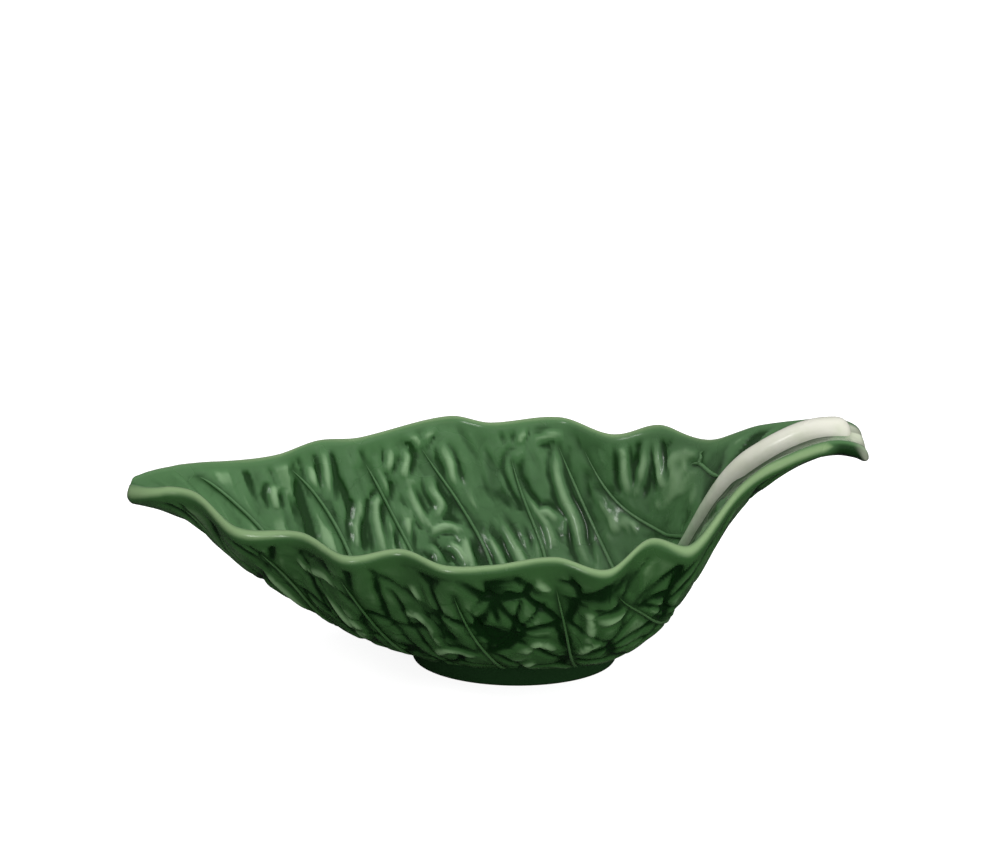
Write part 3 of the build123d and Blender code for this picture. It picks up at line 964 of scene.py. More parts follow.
@dataclass(frozen=True)
class StalkForm:
    """The pale midrib that stands on the leaf's upper face."""

    width: float = 10.0
    tail_width: float = 3.2
    rise: float = 4.6
    tail_rise: float = 0.8
    end_gap: float = 5.0
    reach: float = 165.0
    bed: float = 1.8
    taper: GuideLine = GuideLine(((0.0, 1.0), (0.2, 0.9), (0.32, 0.5), (0.6, 0.26), (1.0, 0.0)))
    tail: float = 0.09
    tail_least: float = 0.02
    crown_power: float = 0.7
    dome: float = 7 / 8  # how high a section's curve comes towards its control points
    head_turns: tuple[float, ...] = (6, 20, 35, 50, 65, 78)
    stations: int = 28
    ease: float = 0.02
    sections: int = 190
    around: int = 20

    def place(self, share: np.ndarray, form: LeafForm) -> np.ndarray:
        """Places along the leaf at shares of the stalk's reach from its head."""
        return 0.5 - (self.end_gap + share * self.reach) / form.length

    def half(self, share: np.ndarray) -> np.ndarray:
        """Half width at shares of the stalk's reach."""
        return (self.tail_width + (self.width - self.tail_width) * self.taper.at(share)) / 2

    def half_on_leaf(self, place: np.ndarray, form: LeafForm) -> np.ndarray:
        """Half width at places along the leaf, and nothing where the stalk doesn't reach."""
        share = ((0.5 - place) * form.length - self.end_gap) / self.reach
        return np.where((share >= 0) & (share <= 1), self.half(share), -FAR_FROM_STALK)

    def crown_line(self, form: LeafForm) -> GuideLine:
        """Draws the stalk's top line, eased so that it sweeps down without a kink.

        Args:
            form: the leaf that the stalk lies on.

        Returns:
            Its height at shares of the stalk's reach.
        """
        share = np.linspace(0, 1, self.stations)
        place = self.place(share, form)
        rise = self.tail_rise + (self.rise - self.tail_rise) * self.taper.at(share)
        eased = form.steepness(form.keel, place, self.ease)
        top = form.keel(place) + form.midrib_wall(place) + rise * eased
        top[1:-1] = (top[:-2] + 2 * top[1:-1] + top[2:]) / 4
        return GuideLine(tuple(zip(share, top)))

    def build(self, form: LeafForm) -> bpy.types.Object:
        """Makes the stalk as one closed mesh with a rounded head.

        Args:
            form: the leaf that it lies on.

        Returns:
            The stalk, with its share of the reach kept on its vertices.
        """
        nose = self.width / 2 / self.reach
        turns = np.radians(self.head_turns)
        head = nose * (1 - np.cos(turns))
        body = np.linspace(nose, 1, self.sections)
        share = np.concatenate([head, body])
        fading = np.sqrt(np.clip((1 - body) / self.tail, self.tail_least, 1))
        full = np.concatenate([np.sin(turns), fading])
        place = self.place(share, form)
        lean = form.steepness(form.keel, place)
        half = full * self.half(share)
        bed = form.keel(place) + form.midrib_wall(place) - self.bed * lean
        crown = bed + (self.crown_line(form).at(share) - bed) * full**self.crown_power / self.dome
        zero = np.zeros_like(half)
        control = np.stack([np.stack(p, 1) for p in
                            ((half, bed), (half, crown), (zero, crown), (-half, crown), (-half, bed))], 1)
        ring = form.curve(control, np.linspace(0, 1, self.around))
        count = self.around
        points = np.concatenate([
            np.column_stack([np.full(count, place[i] * form.length), ring[i]]) for i in range(len(share))])
        faces = loft_faces(len(share), count)
        last = (len(share) - 1) * count
        faces += [tuple(range(count)), tuple(last + j for j in range(count))]
        return new_piece("stalk_rib", points, faces, {"along": np.repeat(share, count)})


@dataclass(frozen=True)
class FootForm:
    """The low oval foot ring that the leaf is luted to."""

    centre: float = 7.0
    length: float = 70.0
    width: float = 47.0
    ring: float = 6.5
    edge: float = 1.4
    flare: float = 0.9
    cove: float = 2.6
    sink: float = 1.2
    overlap: float = 0.35
    cove_power: int = 5
    side_start: float = 0.12
    side_steps: int = 9
    edge_steps: int = 5
    turns: int = 180

    def clearance(self, x: np.ndarray, y: np.ndarray) -> np.ndarray:
        """Distance, about, of points of the table from the foot's outer edge, negative inside it."""
        a, b = self.length / 2, self.width / 2
        return (np.hypot((x - self.centre) / a, y / b) - 1) * b

    def build(self, form: LeafForm) -> bpy.types.Object:
        """Makes the foot as one closed ring whose outside sweeps up into the leaf.

        Args:
            form: the leaf that it meets.

        Returns:
            The foot, with its height kept on its vertices.
        """
        turn = np.linspace(0, 2 * math.pi, self.turns, endpoint=False)

        def rim(offset: float) -> tuple[np.ndarray, np.ndarray]:
            """X and Y of the oval, moved out by an offset."""
            x = self.centre + (self.length / 2 + offset) * np.cos(turn)
            return x, (self.width / 2 + offset) * np.sin(turn)

        def height(offset: float) -> np.ndarray:
            """Height of the leaf over that oval."""
            return form.underside_height(*rim(offset))

        bend = np.radians(np.linspace(0, 90, self.edge_steps))
        low = [(-self.ring, None)]
        low += [(-self.ring + self.edge * (1 - math.cos(t)), self.edge * (1 - math.sin(t))) for t in bend]
        low += [(-self.edge + self.edge * math.sin(t), self.edge * (1 - math.cos(t))) for t in bend]
        rings = []
        for offset, up in low:
            x, y = rim(offset)
            z = height(offset) + self.sink if up is None else np.full_like(x, up)
            rings.append(np.column_stack([x, y, z]))
        for share in np.linspace(self.side_start, 1.0, self.side_steps):
            offset = self.flare * share + self.cove * share**self.cove_power
            x, y = rim(offset)
            top = height(offset) + self.overlap
            rings.append(np.column_stack([x, y, self.edge + (top - self.edge) * share]))
        x, y = rim(self.flare)
        rings.append(np.column_stack([x, y, height(self.flare) + self.sink]))
        points = np.concatenate(rings)
        faces = loft_faces(len(rings), self.turns)
        last = (len(rings) - 1) * self.turns
        for j in range(self.turns):
            k = (j + 1) % self.turns
            faces.append((last + j, last + k, k, j))
        return new_piece("foot_band", points, faces, {"height": points[:, 2]})


@dataclass
class LeafBowl:
    """The leaf shell as one fine closed sheet, with its relief."""

    form: LeafForm
    stalk: StalkForm
    foot: FootForm
    relief: ReliefRule = field(default_factory=ReliefRule)
    stations: int = 286
    half_steps: int = 77
    lip_steps: int = 7
    lip_fullness: float = 0.95
    rim_calm: Span = (0.4, 3.5)
    foot_calm: Span = (1.5, 5.0)
    stalk_calm: Span = (0.5, 3.5)
    end_calm: Span = (2.5, 9.0)
    handle_calm: Span = (0.34, 0.42)
    handle_loss: float = 0.75
    tip_calm: Span = (0.4, 0.47)
    tip_loss: float = 0.8
    bowl_reach: Span = (-0.48, 0.3)
    bowl_density: float = 1.5
    end_turns: tuple[float, ...] = (7, 22, 40, 58, 75)
    spacing_steps: int = 4001
    keel_steps: int = 2000

    def places(self) -> tuple[np.ndarray, np.ndarray]:
        """Spaces the cross-sections, closer in the bowl and closest round the two blunt ends.

        Returns:
            The places, and the share of the full wall at each.
        """
        even = np.linspace(-0.5, 0.5, self.spacing_steps)
        inside = (even > self.bowl_reach[0]) & (even < self.bowl_reach[1])
        weight = np.cumsum(np.where(inside, self.bowl_density, 1.0))
        nose = self.form.wall / 2 / self.form.length
        spread = np.interp(np.linspace(weight[0], weight[-1], self.stations), weight, even)
        body = spread * (1 - 2 * nose)
        turns = np.radians(self.end_turns)
        ends = nose * (1 - np.cos(turns)) - 0.5
        place = np.concatenate([ends, body, -ends[::-1]])
        thick = np.concatenate([np.sin(turns), np.ones_like(body), np.sin(turns)[::-1]])
        return place, thick

    def build(self) -> bpy.types.Object:
        """Makes the smooth sheet and keeps on it what the relief and the glaze read.

        Returns:
            The leaf as a closed mesh without its relief.
        """
        form = self.form
        place, thick = self.places()
        shares = np.linspace(0, 1, self.half_steps + 1)
        lip_turn = np.linspace(0, math.pi, self.lip_steps + 2)[1:-1]
        halves = {}
        for edge in Edge:
            base = form.under(place, edge)
            through = form.upper(base, place)
            inset = ((1 - thick) / 2)[:, None, None]
            under = form.curve(base + (through - base) * inset, shares)
            upper = form.curve(base + (through - base) * (1 - inset), shares)
            tangent = base[:, -1] - base[:, -2]
            tangent /= np.linalg.norm(tangent, axis=1)[:, None]
            middle = (under[:, -1] + upper[:, -1]) / 2
            radius = np.linalg.norm(under[:, -1] - upper[:, -1], axis=1)[:, None, None] / 2
            lip = (middle[:, None] + (under[:, -1] - middle)[:, None] * np.cos(lip_turn)[None, :, None]
                   + tangent[:, None] * np.sin(lip_turn)[None, :, None] * radius * self.lip_fullness)
            halves[edge] = (under, upper, lip)

        def ring(front: Parts, back: Parts) -> np.ndarray:
            """Joins values of both halves in order round the section."""
            (fu, fp, fl), (bu, bp, bl) = front, back
            return np.concatenate(
                [fu[:, ::-1], bu[:, 1:], bl, bp[:, ::-1], fp[:, 1:], fl[:, ::-1]], axis=1)

        def signed(edge: Edge) -> Parts:
            """Section points of one half as Y and Z."""
            return tuple(part * np.array([edge.value, 1.0]) for part in halves[edge])

        section = ring(signed(Edge.FRONT), signed(Edge.BACK))
        count = section.shape[1]
        x = np.repeat((place * form.length)[:, None], count, 1)
        points = np.concatenate([x[:, :, None], section], 2).reshape(-1, 3)
        marks = {}
        for label, values in self.marks(place, halves, shares).items():
            marks[label] = ring(values[Edge.FRONT], values[Edge.BACK]).reshape(-1)
        marks["calm"] = self.calm(points, marks)
        marks["along_flat"] = points[:, 0]
        faces = loft_faces(len(place), count) + self.end_faces(len(place), count)
        return new_piece("leaf_shell", points, faces, marks)

    def marks(
        self, place: np.ndarray, halves: dict[Edge, Parts], shares: np.ndarray,
    ) -> dict[str, dict[Edge, Parts]]:
        """Works out the numbers that go with each point of the section.

        Args:
            place: places along the leaf.
            halves: section points of each half: underside, upper face and lip.
            shares: shares of the way from keel to rim.

        Returns:
            For each name, and for each half, the values on the underside, the upper face and the lip.
        """
        form = self.form
        fine = np.linspace(-0.5, 0.5, self.keel_steps)
        steps = form.steepness(form.keel, fine) * form.length * (fine[1] - fine[0])
        keel_run = np.interp(place, fine, np.cumsum(steps) - np.interp(0.0, fine, np.cumsum(steps)))
        flat_run = place * form.length
        result = {name: {} for name in ("along", "across", "from_rim", "from_crest", "face", "from_stalk")}
        quarter = form.wall * math.pi / 4

        def travelled(curve: np.ndarray) -> np.ndarray:
            """Distance along each section from the keel."""
            hops = np.linalg.norm(np.diff(curve, axis=1), axis=2)
            return np.concatenate([np.zeros((len(curve), 1)), np.cumsum(hops, 1)], 1)

        for edge in Edge:
            under, upper, lip = halves[edge]
            lips = np.ones(lip.shape[:2])
            along = keel_run[:, None] + (flat_run - keel_run)[:, None] * shares[None]
            under_run, upper_run = travelled(under), travelled(upper)
            stalk_half = self.stalk.half_on_leaf(place, form)[:, None]
            result["along"][edge] = (along, along, lips * flat_run[:, None])
            result["across"][edge] = tuple(
                edge.value * part for part in (under_run, upper_run, lips * upper_run[:, -1:]))
            under_left, upper_left = under_run[:, -1:] - under_run, upper_run[:, -1:] - upper_run
            turn = np.linspace(0, 1, lip.shape[1])[None]
            result["from_rim"][edge] = (under_left, upper_left, lips * 0)
            result["from_crest"][edge] = (
                under_left + quarter, upper_left + quarter, lips * np.abs(2 * turn - 1) * quarter)
            result["face"][edge] = (under_run * 0, upper_run * 0 + 1, lips * turn)
            result["from_stalk"][edge] = (
                under_run * 0 + FAR_FROM_STALK, upper_run - stalk_half, lips * FAR_FROM_STALK)
        return result

    def calm(self, points: np.ndarray, marks: dict[str, np.ndarray]) -> np.ndarray:
        """Works out how much of the relief each point takes.

        Args:
            points: the leaf's points.
            marks: the numbers kept on them.

        Returns:
            A share for each point: none on the lip, at the foot, beside the stalk and at the two ends.
        """
        def rise(value: np.ndarray, low: float, high: float) -> np.ndarray:
            """A soft step."""
            t = np.clip((value - low) / (high - low), 0, 1)
            return t * t * (3 - 2 * t)

        rim = rise(marks["from_rim"], *self.rim_calm)
        stalk = rise(marks["from_stalk"], *self.stalk_calm)
        beside_foot = rise(self.foot.clearance(points[:, 0], points[:, 1]), *self.foot_calm)
        foot = np.where((marks["face"] < 0.5) & (points[:, 2] < self.form.rim_height / 2), beside_foot, 1.0)
        length = self.form.length
        handle = 1 - self.handle_loss * rise(points[:, 0], *(share * length for share in self.handle_calm))
        tip = 1 - self.tip_loss * rise(-points[:, 0], *(share * length for share in self.tip_calm))
        ends = rise(0.5 * length - np.abs(points[:, 0]), *self.end_calm)
        return rim * stalk * foot * handle * tip * ends

    def end_faces(self, rings: int, count: int) -> list[tuple[int, ...]]:
        """Closes the two thin ends with strips between the faces and half rounds at the lips.

        Args:
            rings: how many cross-sections there are.
            count: how many points each has.

        Returns:
            The vertex numbers of each face.
        """
        m, lips = self.half_steps, self.lip_steps
        faces = []
        for first in (0, (rings - 1) * count):
            front_under = [first + m - k for k in range(m + 1)]
            back_under = [first + m + k for k in range(m + 1)]
            back_lip = [first + 2 * m + 1 + k for k in range(lips)]
            top = first + 2 * m + 1 + lips
            back_upper = [top + m - k for k in range(m + 1)]
            front_upper = [top + m + k for k in range(m + 1)]
            front_lip = [top + 2 * m + 1 + lips - 1 - k for k in range(lips)]
            for low, high in ((front_under, front_upper), (back_under, back_upper)):
                faces += [(low[k], low[k + 1], high[k + 1], high[k]) for k in range(m)]
            faces.append((front_under[-1], *front_lip, front_upper[-1]))
            faces.append((back_under[-1], *back_lip, back_upper[-1]))
        return faces


@dataclass(frozen=True)
class Glaze:
    """A glossy ceramic glaze: colours, each as linear red, green and blue, and its gloss."""

    roughness: float = 0.26
    coat: float = 0.3
    coat_roughness: float = 0.13
    ior: float = 1.5
    ripple: float = 0.25
    ripple_scale: float = 220.0
    ripple_depth: float = 0.0006

    def material(self, name: str) -> tuple[bpy.types.Material, TreeWriter, bpy.types.Node]:
        """Starts a material with the glaze's gloss on its shader.

        Args:
            name: the material's name.

        Returns:
            The material, the writer of its tree and its shader node.
        """
        material = bpy.data.materials.new(name)
        material.use_nodes = True
        writer = TreeWriter(material.node_tree)
        shader = material.node_tree.nodes["Principled BSDF"]
        shader.inputs["Coat Weight"].default_value = self.coat
        shader.inputs["Coat Roughness"].default_value = self.coat_roughness
        shader.inputs["IOR"].default_value = self.ior
        return material, writer, shader

    def skin(
        self, writer: TreeWriter, shader: bpy.types.Node, group: bpy.types.NodeTree, height: Feed = 0.0,
    ) -> None:
        """Adds the glaze's faint ripple and its uneven gloss.

        Args:
            writer: the writer of the material's tree.
            shader: the material's shader.
            group: the shared group for a glaze's skin.
            height: height of anything finer than the mesh, on the ripple's own scale.
        """
        where = writer.add("ShaderNodeTexCoord").outputs["Object"]
        skin = writer.add("ShaderNodeGroup")
        skin.node_tree = group
        writer.feed(skin.inputs["Vector"], where)
        writer.feed(skin.inputs["Scale"], self.ripple_scale)
        writer.feed(skin.inputs["Roughness"], self.roughness)
        writer.feed(shader.inputs["Roughness"], skin.outputs["Roughness"])
        total = writer.plus(skin.outputs["Height"], height)
        bump = writer.call("ShaderNodeBump", output="Normal", inputs={
            "Strength": self.ripple, "Distance": self.ripple_depth, "Height": total})
        writer.feed(shader.inputs["Normal"], bump)


@dataclass(frozen=True)
class GlazeSkin:
    """The shared look of a glaze's skin: soft ripples, and patches of lower gloss."""

    ripple_detail: float = 2.0
    ripple_seed: float = 1.0
    patch_share: float = 0.3  # scale of the patches, as a share of the ripples'
    patch_detail: float = 3.0
    patch_seed: float = 2.0
    spread: float = 0.16

    def group(self) -> bpy.types.NodeTree:
        """Builds the group.

        Returns:
            A shader group with a height and a roughness that change over the surface.
        """
        number = "NodeSocketFloat"
        w, given, result = new_tree(
            "glaze_skin", "ShaderNodeTree",
            {"Vector": ("NodeSocketVector", None), "Scale": (number, None), "Roughness": (number, None)},
            {"Height": number, "Roughness": number})
        vector, scale = given.outputs["Vector"], given.outputs["Scale"]
        patch_scale = w.times(scale, self.patch_share)
        patches = w.noise(vector, patch_scale, self.patch_detail, self.patch_seed)
        w.feed(result.inputs["Height"], w.noise(vector, scale, self.ripple_detail, self.ripple_seed))
        spread = w.times(w.minus(patches, 0.5), self.spread)
        w.feed(result.inputs["Roughness"], w.plus(given.outputs["Roughness"], spread))
        return w.tree


@dataclass(frozen=True)
class GlazePool:
    """The shared look of a translucent glaze, whose colour follows how thick it lies; it is lighter on ridges
    and at the lip's crest, partly as painted highlight.
    """

    cloud: Noise = (42.0, 2.0, 7.0)
    cloud_weight: float = 0.5
    mottle: Noise = (160.0, 2.0, 8.0)
    mottle_weight: float = 0.35
    bend: Noise = (110.0, 1.0, 3.0)
    bend_reach: tuple[float, float, float] = (0.012, 0.012, 0.006)
    wrinkle: Noise = (95.0, 1.0, 5.0)
    wrinkle_width: float = 0.05
    patch: Noise = (48.0, 1.0, 4.0)
    patch_edge: Span = (0.36, 0.58)
    pool_levels: Span = (0.12, -0.85)
    break_levels: Span = (0.1, 1.25)
    lip_width: float = 4.0
    lip_full: float = 0.3
    lip_unevenness: float = 2.5

    def group(self) -> bpy.types.NodeTree:
        """Builds the group.

        Returns:
            A shader group: dark where the glaze pools, light over edges and ridges where it breaks, partly as
                painted highlight.
        """
        colour, number = "NodeSocketColor", "NodeSocketFloat"
        w, given, result = new_tree(
            "glaze_pool", "ShaderNodeTree",
            {"Vector": ("NodeSocketVector", None), "Relief": (number, 0.0),
             "From crest": (number, FAR_FROM_CREST), "Lip width": (number, self.lip_width),
             "Wrinkle": (number, 0.0), "Pool": (colour, None), "Body": (colour, None),
             "Break": (colour, None), "Lip": (colour, None)},
            {"Color": colour, "Height": number})
        vector = given.outputs["Vector"]
        cloud = w.times(w.minus(w.noise(vector, *self.cloud), 0.5), self.cloud_weight)
        mottle = w.times(w.minus(w.noise(vector, *self.mottle), 0.5), self.mottle_weight)
        uneven = w.plus(cloud, mottle)

        # Fine wrinkles that the glaze fills, in patches
        bent = w.call("ShaderNodeVectorMath", operation="MULTIPLY_ADD", inputs={
            0: w.noise(vector, *self.bend, output=1), 1: self.bend_reach, 2: vector})
        middle = w.unsigned(w.minus(w.noise(bent, *self.wrinkle), 0.5))
        patch = w.smooth(w.noise(vector, *self.patch), *self.patch_edge)
        strength = w.times(patch, given.outputs["Wrinkle"])
        line = w.times(w.smooth(middle, self.wrinkle_width, 0.0), strength)
        w.feed(result.inputs["Height"], w.times(line, -1.0))

        level = w.minus(w.plus(given.outputs["Relief"], uneven), line)
        pooled = w.tint(given.outputs["Body"], given.outputs["Pool"], w.smooth(level, *self.pool_levels))
        # Ridges and edges take the break colour, for thin glaze and partly as painted highlight
        broken_and_highlit = w.tint(pooled, given.outputs["Break"], w.smooth(level, *self.break_levels))
        # The lip's paler band peaks at the crest and fades down each face: partly painted highlight on the
        # rim's bead
        lip_reach = w.plus(given.outputs["From crest"], w.times(uneven, self.lip_unevenness))
        lip = w.smooth(lip_reach, given.outputs["Lip width"], self.lip_full)
        w.feed(result.inputs["Color"], w.tint(broken_and_highlit, given.outputs["Lip"], lip))
        return w.tree


@dataclass(frozen=True)
class LeafGlaze(Glaze):
    """The green glaze of the leaf, with darker colours on its underside that are painted shade."""

    # Underside colours: darker copies of the upper face's, as painted shade
    under_pool: Colour = (0.0014, 0.016, 0.0014)
    under_body: Colour = (0.028, 0.086, 0.022)
    # Break colours, light on ridges and edges: thin glaze, and partly painted highlight
    under_break: Colour = (0.165, 0.285, 0.135)
    upper_pool: Colour = (0.010, 0.046, 0.008)
    upper_body: Colour = (0.078, 0.185, 0.070)
    upper_break: Colour = (0.25, 0.41, 0.215)
    # The lip's paler colour; its peak at the crest and its wider reach over the upper face are painted
    # highlight
    lip: Colour = (0.205, 0.32, 0.148)
    lip_widths: Span = (3.2, 4.0)
    lip_end: Span = (108.0, 115.0)
    lip_fade: float = 6.0
    wrinkles: Span = (0.3, 0.12)
    wrinkle_depth: float = 2.5
    pale_end: Colour = (0.63, 0.67, 0.52)
    pale_start: Span = (120.4, 115.0)
    pale_full: Span = (122.8, 119.0)
    pale_width: Span = (12.5, 8.0)
    pale_strength: float = 0.85
    # Darker towards the handle's end on the underside and the lower lip
    end_pool: float = 0.8
    end_pool_face: Span = (0.85, 0.5)

    def build(self, pool: bpy.types.NodeTree, skin: bpy.types.NodeTree) -> bpy.types.Material:
        """Makes the material.

        Args:
            pool: the shared group that colours a glaze by its thickness.
            skin: the shared group for a glaze's skin.

        Returns:
            The material, which reads the marks kept on the leaf.
        """
        material, w, shader = self.material("leaf_green_glaze")

        def mark(label: str) -> bpy.types.NodeSocket:
            """Reads a number kept on the leaf's vertices."""
            return w.call("ShaderNodeAttribute", output="Fac", attribute_name=label)

        face = mark("face")
        group = w.add("ShaderNodeGroup")
        group.node_tree = pool
        w.feed(group.inputs["Vector"], w.add("ShaderNodeTexCoord").outputs["Object"])
        flat = mark("along_flat")
        ending = w.smooth(flat, *self.lip_end)
        # Darker towards the handle's end on the underside and the lower lip
        end_pool = w.times(w.times(ending, w.smooth(face, *self.end_pool_face)), self.end_pool)
        w.feed(group.inputs["Relief"], w.minus(mark("relief"), end_pool))
        w.feed(group.inputs["From crest"], w.math("MULTIPLY_ADD", ending, self.lip_fade, mark("from_crest")))
        # Each colour runs from the underside's darker copy, which is painted shade, to the upper face's
        for label, low, high in (
                ("Pool", self.under_pool, self.upper_pool), ("Body", self.under_body, self.upper_body),
                ("Break", self.under_break, self.upper_break)):
            w.feed(group.inputs[label], w.tint((*low, 1.0), (*high, 1.0), face))
        w.feed(group.inputs["Lip"], (*self.lip, 1.0))
        w.feed(group.inputs["Lip width"], w.between(*self.lip_widths, face))
        w.feed(group.inputs["Wrinkle"], w.times(w.between(*self.wrinkles, face), mark("calm")))
        paling = w.smooth(flat, w.between(*self.pale_start, face), w.between(*self.pale_full, face))
        middle = w.smooth(w.unsigned(mark("across")), *self.pale_width)
        paling = w.times(paling, w.times(middle, self.pale_strength))
        w.feed(shader.inputs["Base Color"], w.tint(group.outputs["Color"], (*self.pale_end, 1.0), paling))
        self.skin(w, shader, skin, w.times(group.outputs["Height"], self.wrinkle_depth))
        return material


@dataclass(frozen=True)
class FootGlaze(Glaze):
    """Dark pooled glaze on the foot, wiped to bare clay on its standing edge."""

    pool: Colour = (0.003, 0.014, 0.003)
    body: Colour = (0.010, 0.035, 0.010)
    clay: Colour = (0.62, 0.54, 0.42)
    wiped: Span = (0.15, 0.5)

    def build(self, pool: bpy.types.NodeTree, skin: bpy.types.NodeTree) -> bpy.types.Material:
        """Makes the material.

        Args:
            pool: the shared group that colours a glaze by its thickness.
            skin: the shared group for a glaze's skin.

        Returns:
            The material, which reads the height kept on the foot.
        """
        material, w, shader = self.material("foot_dark_glaze")
        height = w.call("ShaderNodeAttribute", output="Fac", attribute_name="height")
        group = w.add("ShaderNodeGroup")
        group.node_tree = pool
        w.feed(group.inputs["Vector"], w.add("ShaderNodeTexCoord").outputs["Object"])
        colours = {"Pool": self.pool, "Body": self.body, "Break": self.body, "Lip": self.body}
        for label, value in colours.items():
            w.feed(group.inputs[label], (*value, 1.0))
        glazed = w.smooth(height, *self.wiped)
        w.feed(shader.inputs["Base Color"], w.tint((*self.clay, 1.0), group.outputs["Color"], glazed))
        self.skin(w, shader, skin)
        return material


@dataclass(frozen=True)
class StalkGlaze(Glaze):
    """The off-white glaze of the stalk, greening towards its lower end."""

    pale: Colour = (0.71, 0.705, 0.615)
    shade: Colour = (0.62, 0.64, 0.515)
    green: Colour = (0.138, 0.275, 0.117)
    greening: Span = (0.26, 0.42)
    cloud: Noise = (120.0, 3.0, 5.0)
    cloud_edge: Span = (0.35, 0.75)
    ragged: Noise = (300.0, 2.0, 6.0)
    ragged_reach: float = 0.06

    def build(self, skin: bpy.types.NodeTree) -> bpy.types.Material:
        """Makes the material.

        Args:
            skin: the shared group for a glaze's skin.

        Returns:
            The material, which reads the share of the reach kept on the stalk.
        """
        material, w, shader = self.material("stalk_pale_glaze")
        where = w.add("ShaderNodeTexCoord").outputs["Object"]
        along = w.call("ShaderNodeAttribute", output="Fac", attribute_name="along")
        cloud = w.smooth(w.noise(where, *self.cloud), *self.cloud_edge)
        pale = w.tint((*self.pale, 1.0), (*self.shade, 1.0), cloud)
        ragged = w.math("MULTIPLY_ADD", w.noise(where, *self.ragged), self.ragged_reach, along)
        green = w.smooth(ragged, *self.greening)
        w.feed(shader.inputs["Base Color"], w.tint(pale, (*self.green, 1.0), green))
        self.skin(w, shader, skin)
        return material


@dataclass(frozen=True)
class Lamp:
    """A soft rectangular lamp: its place and its two sides in metres, and its power in watts."""

    name: str
    place: tuple[float, float, float]
    sides: Span
    power: float
    mirrored: bool = False
    aim: tuple[float, float, float] = (0.0, 0.0, 0.04)

    def build(self) -> None:
        """Adds the lamp, aimed at the object."""
        data = bpy.data.lights.new(self.name, "AREA")
        data.shape = "RECTANGLE"
        data.size, data.size_y = self.sides
        data.energy = self.power
        lamp = bpy.data.objects.new(self.name, data)
        lamp.location = self.place
        lamp.visible_glossy = self.mirrored
        lamp.rotation_euler = (Vector(self.aim) - Vector(self.place)).to_track_quat("-Z", "Y").to_euler()
        bpy.context.scene.collection.objects.link(lamp)


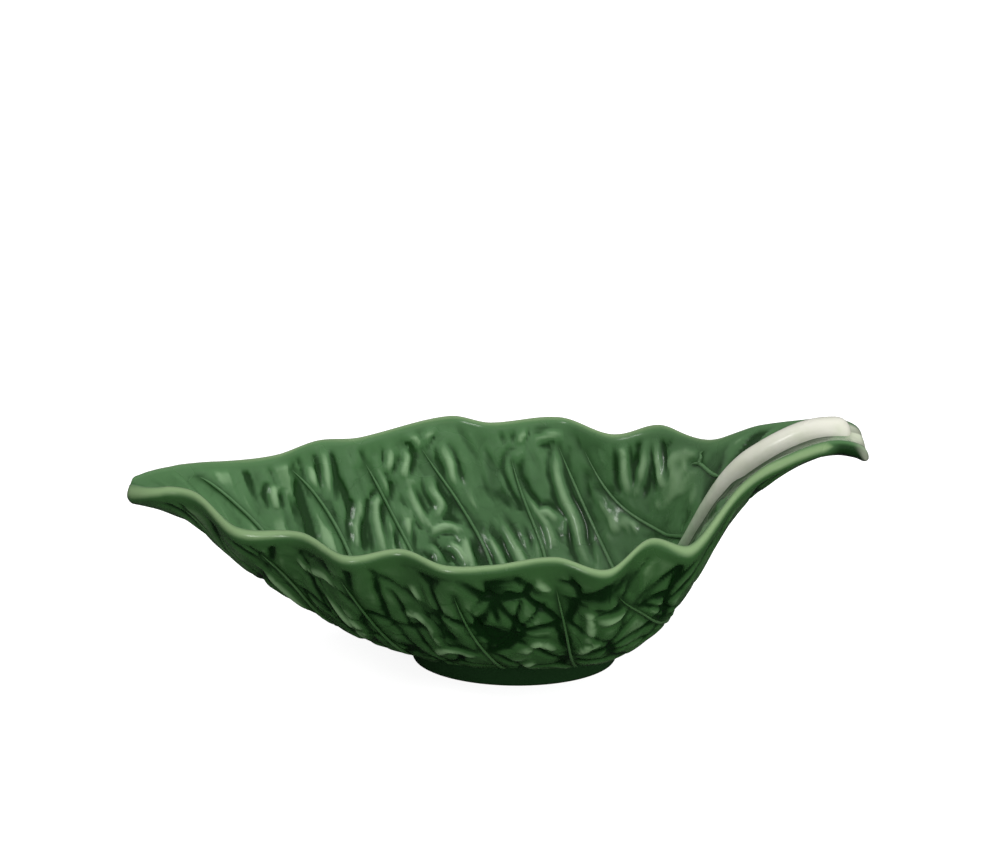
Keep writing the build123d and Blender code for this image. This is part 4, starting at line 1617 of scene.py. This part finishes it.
@dataclass(frozen=True)
class Studio:
    """White studio: the camera, a pale floor and soft lamps."""

    azimuth: float = 2.0
    pitch: float = 21.0
    distance: float = 0.9
    focal_px: float = 2614.5
    origin_px: Span = (493.85, 656.0)
    frame_px: tuple[int, int] = (1000, 843)
    sensor: float = 36.0
    floor_size: float = 6.0
    world_light: float = 0.43
    world_gloss: float = 0.16
    floor_colour: float = 0.55
    floor_gloss: float = 0.03
    floor_glow: float = 0.84
    floor_roughness: float = 0.9
    lamps: tuple[Lamp, ...] = (
        Lamp("overhead_softbox", (-0.1, 0.2, 1.1), (1.0, 0.7), 5.8),
        Lamp("right_softbox", (0.95, -0.6, 0.75), (0.6, 0.8), 5.2),
        Lamp("front_fill", (0.45, -1.2, 0.35), (0.8, 0.5), 6.5),
        Lamp("highlight", (-0.55, -0.7, 1.0), (0.2, 0.3), 1.6, mirrored=True),
    )

    def camera(self) -> bpy.types.Object:
        """Places the camera so that the origin falls on its pixel of the frame.

        Returns:
            The camera, set as the scene's.
        """
        turn, tip = math.radians(self.azimuth), math.radians(self.pitch)
        back = Vector((math.sin(turn) * math.cos(tip), -math.cos(turn) * math.cos(tip), math.sin(tip)))
        right = Vector((math.cos(turn), math.sin(turn), 0.0))
        up = back.cross(right)
        across = (self.origin_px[0] - self.frame_px[0] / 2) / self.focal_px * self.distance
        down = (self.origin_px[1] - self.frame_px[1] / 2) / self.focal_px * self.distance
        data = bpy.data.cameras.new("camera")
        data.sensor_fit = "HORIZONTAL"
        data.sensor_width = self.sensor
        data.lens = self.focal_px * self.sensor / self.frame_px[0]
        camera = bpy.data.objects.new("camera", data)
        axes = Matrix((right, up, back)).transposed().to_4x4()
        camera.matrix_world = Matrix.Translation(back * self.distance - right * across + up * down) @ axes
        bpy.context.scene.collection.objects.link(camera)
        bpy.context.scene.camera = camera
        return camera

    def floor(self) -> bpy.types.Object:
        """Makes the pale floor, white to the camera and shaded under the object.

        Returns:
            The floor.
        """
        half = self.floor_size / 2 / MM
        corners = np.array([(-half, -half, 0), (half, -half, 0), (half, half, 0), (-half, half, 0)], float)
        floor = new_piece("floor", corners, [(0, 1, 2, 3)])
        material = bpy.data.materials.new("floor_white")
        material.use_nodes = True
        w = TreeWriter(material.node_tree)
        shader = material.node_tree.nodes["Principled BSDF"]
        shader.inputs["Roughness"].default_value = self.floor_roughness
        shader.inputs["Specular IOR Level"].default_value = 0.0
        shader.inputs["Emission Color"].default_value = (1.0, 1.0, 1.0, 1.0)
        path = w.add("ShaderNodeLightPath")
        plain, dim = ((level, level, level, 1.0) for level in (self.floor_colour, self.floor_gloss))
        w.feed(shader.inputs["Base Color"], w.tint(plain, dim, path.outputs["Is Glossy Ray"]))
        glow = w.times(path.outputs["Is Camera Ray"], self.floor_glow)
        w.feed(shader.inputs["Emission Strength"], glow)
        floor.data.materials.append(material)
        return floor

    def world(self) -> None:
        """Makes the world: white to the camera, a soft even light otherwise."""
        world = bpy.data.worlds.new("studio")
        world.use_nodes = True
        bpy.context.scene.world = world
        w = TreeWriter(world.node_tree)
        background = world.node_tree.nodes["Background"]
        path = w.add("ShaderNodeLightPath")
        background.inputs["Color"].default_value = (1.0, 1.0, 1.0, 1.0)
        unseen = w.between(self.world_light, self.world_gloss, path.outputs["Is Glossy Ray"])
        w.feed(background.inputs["Strength"], w.between(unseen, 1.0, path.outputs["Is Camera Ray"]))

    def build(self) -> None:
        """Sets up the camera, the floor, the world and the lamps."""
        self.camera()
        self.floor()
        self.world()
        for lamp in self.lamps:
            lamp.build()
        bpy.context.scene.view_settings.view_transform = "Standard"


def dress(piece: bpy.types.Object, material: bpy.types.Material, slot: str, *nodes: str) -> None:
    """Gives a piece its finish and its place in the frame.

    Args:
        piece: the finished piece.
        material: its material.
        slot: a name for its finish's slot, which is not used.
        nodes: the solids that it stands for.
    """
    if not piece.data.materials:
        piece.data.materials.append(material)
    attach(piece, BODY)
    if nodes:
        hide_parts(*nodes)
    LOG.info("%s: %d faces", piece.name, len(piece.data.polygons))


def main() -> None:
    """Builds the boat and its studio in order."""
    logging.basicConfig(level=logging.INFO, format="%(name)s %(message)s")
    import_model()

    pool, skin = GlazePool().group(), GlazeSkin().group()
    green = LeafGlaze().build(pool, skin)
    form, stalk_form, foot_form = LeafForm(), StalkForm(), FootForm()

    network = VeinNetwork(form)
    veins = network.build()
    puckers = Puckers().build(form)
    bowl = LeafBowl(form, stalk_form, foot_form)
    leaf = bowl.build()
    apply_tree(leaf, bowl.relief.tree(), {"Veins": veins, "Glaze": green, **puckers})
    for lines in puckers.values():
        bpy.data.objects.remove(lines)
    dress(leaf, green, "leaf_glaze", "leaf_bowl")
    apply_tree(veins, network.cord_tree(), {"Glaze": green})
    dress(veins, green, "leaf_glaze")

    foot = foot_form.build(form)
    dress(foot, FootGlaze().build(pool, skin), "foot_glaze", "foot_ring")
    stalk = stalk_form.build(form)
    dress(stalk, StalkGlaze().build(skin), "stalk_glaze", "stalk")

    Studio().build()


if __name__ == "__main__":
    main()
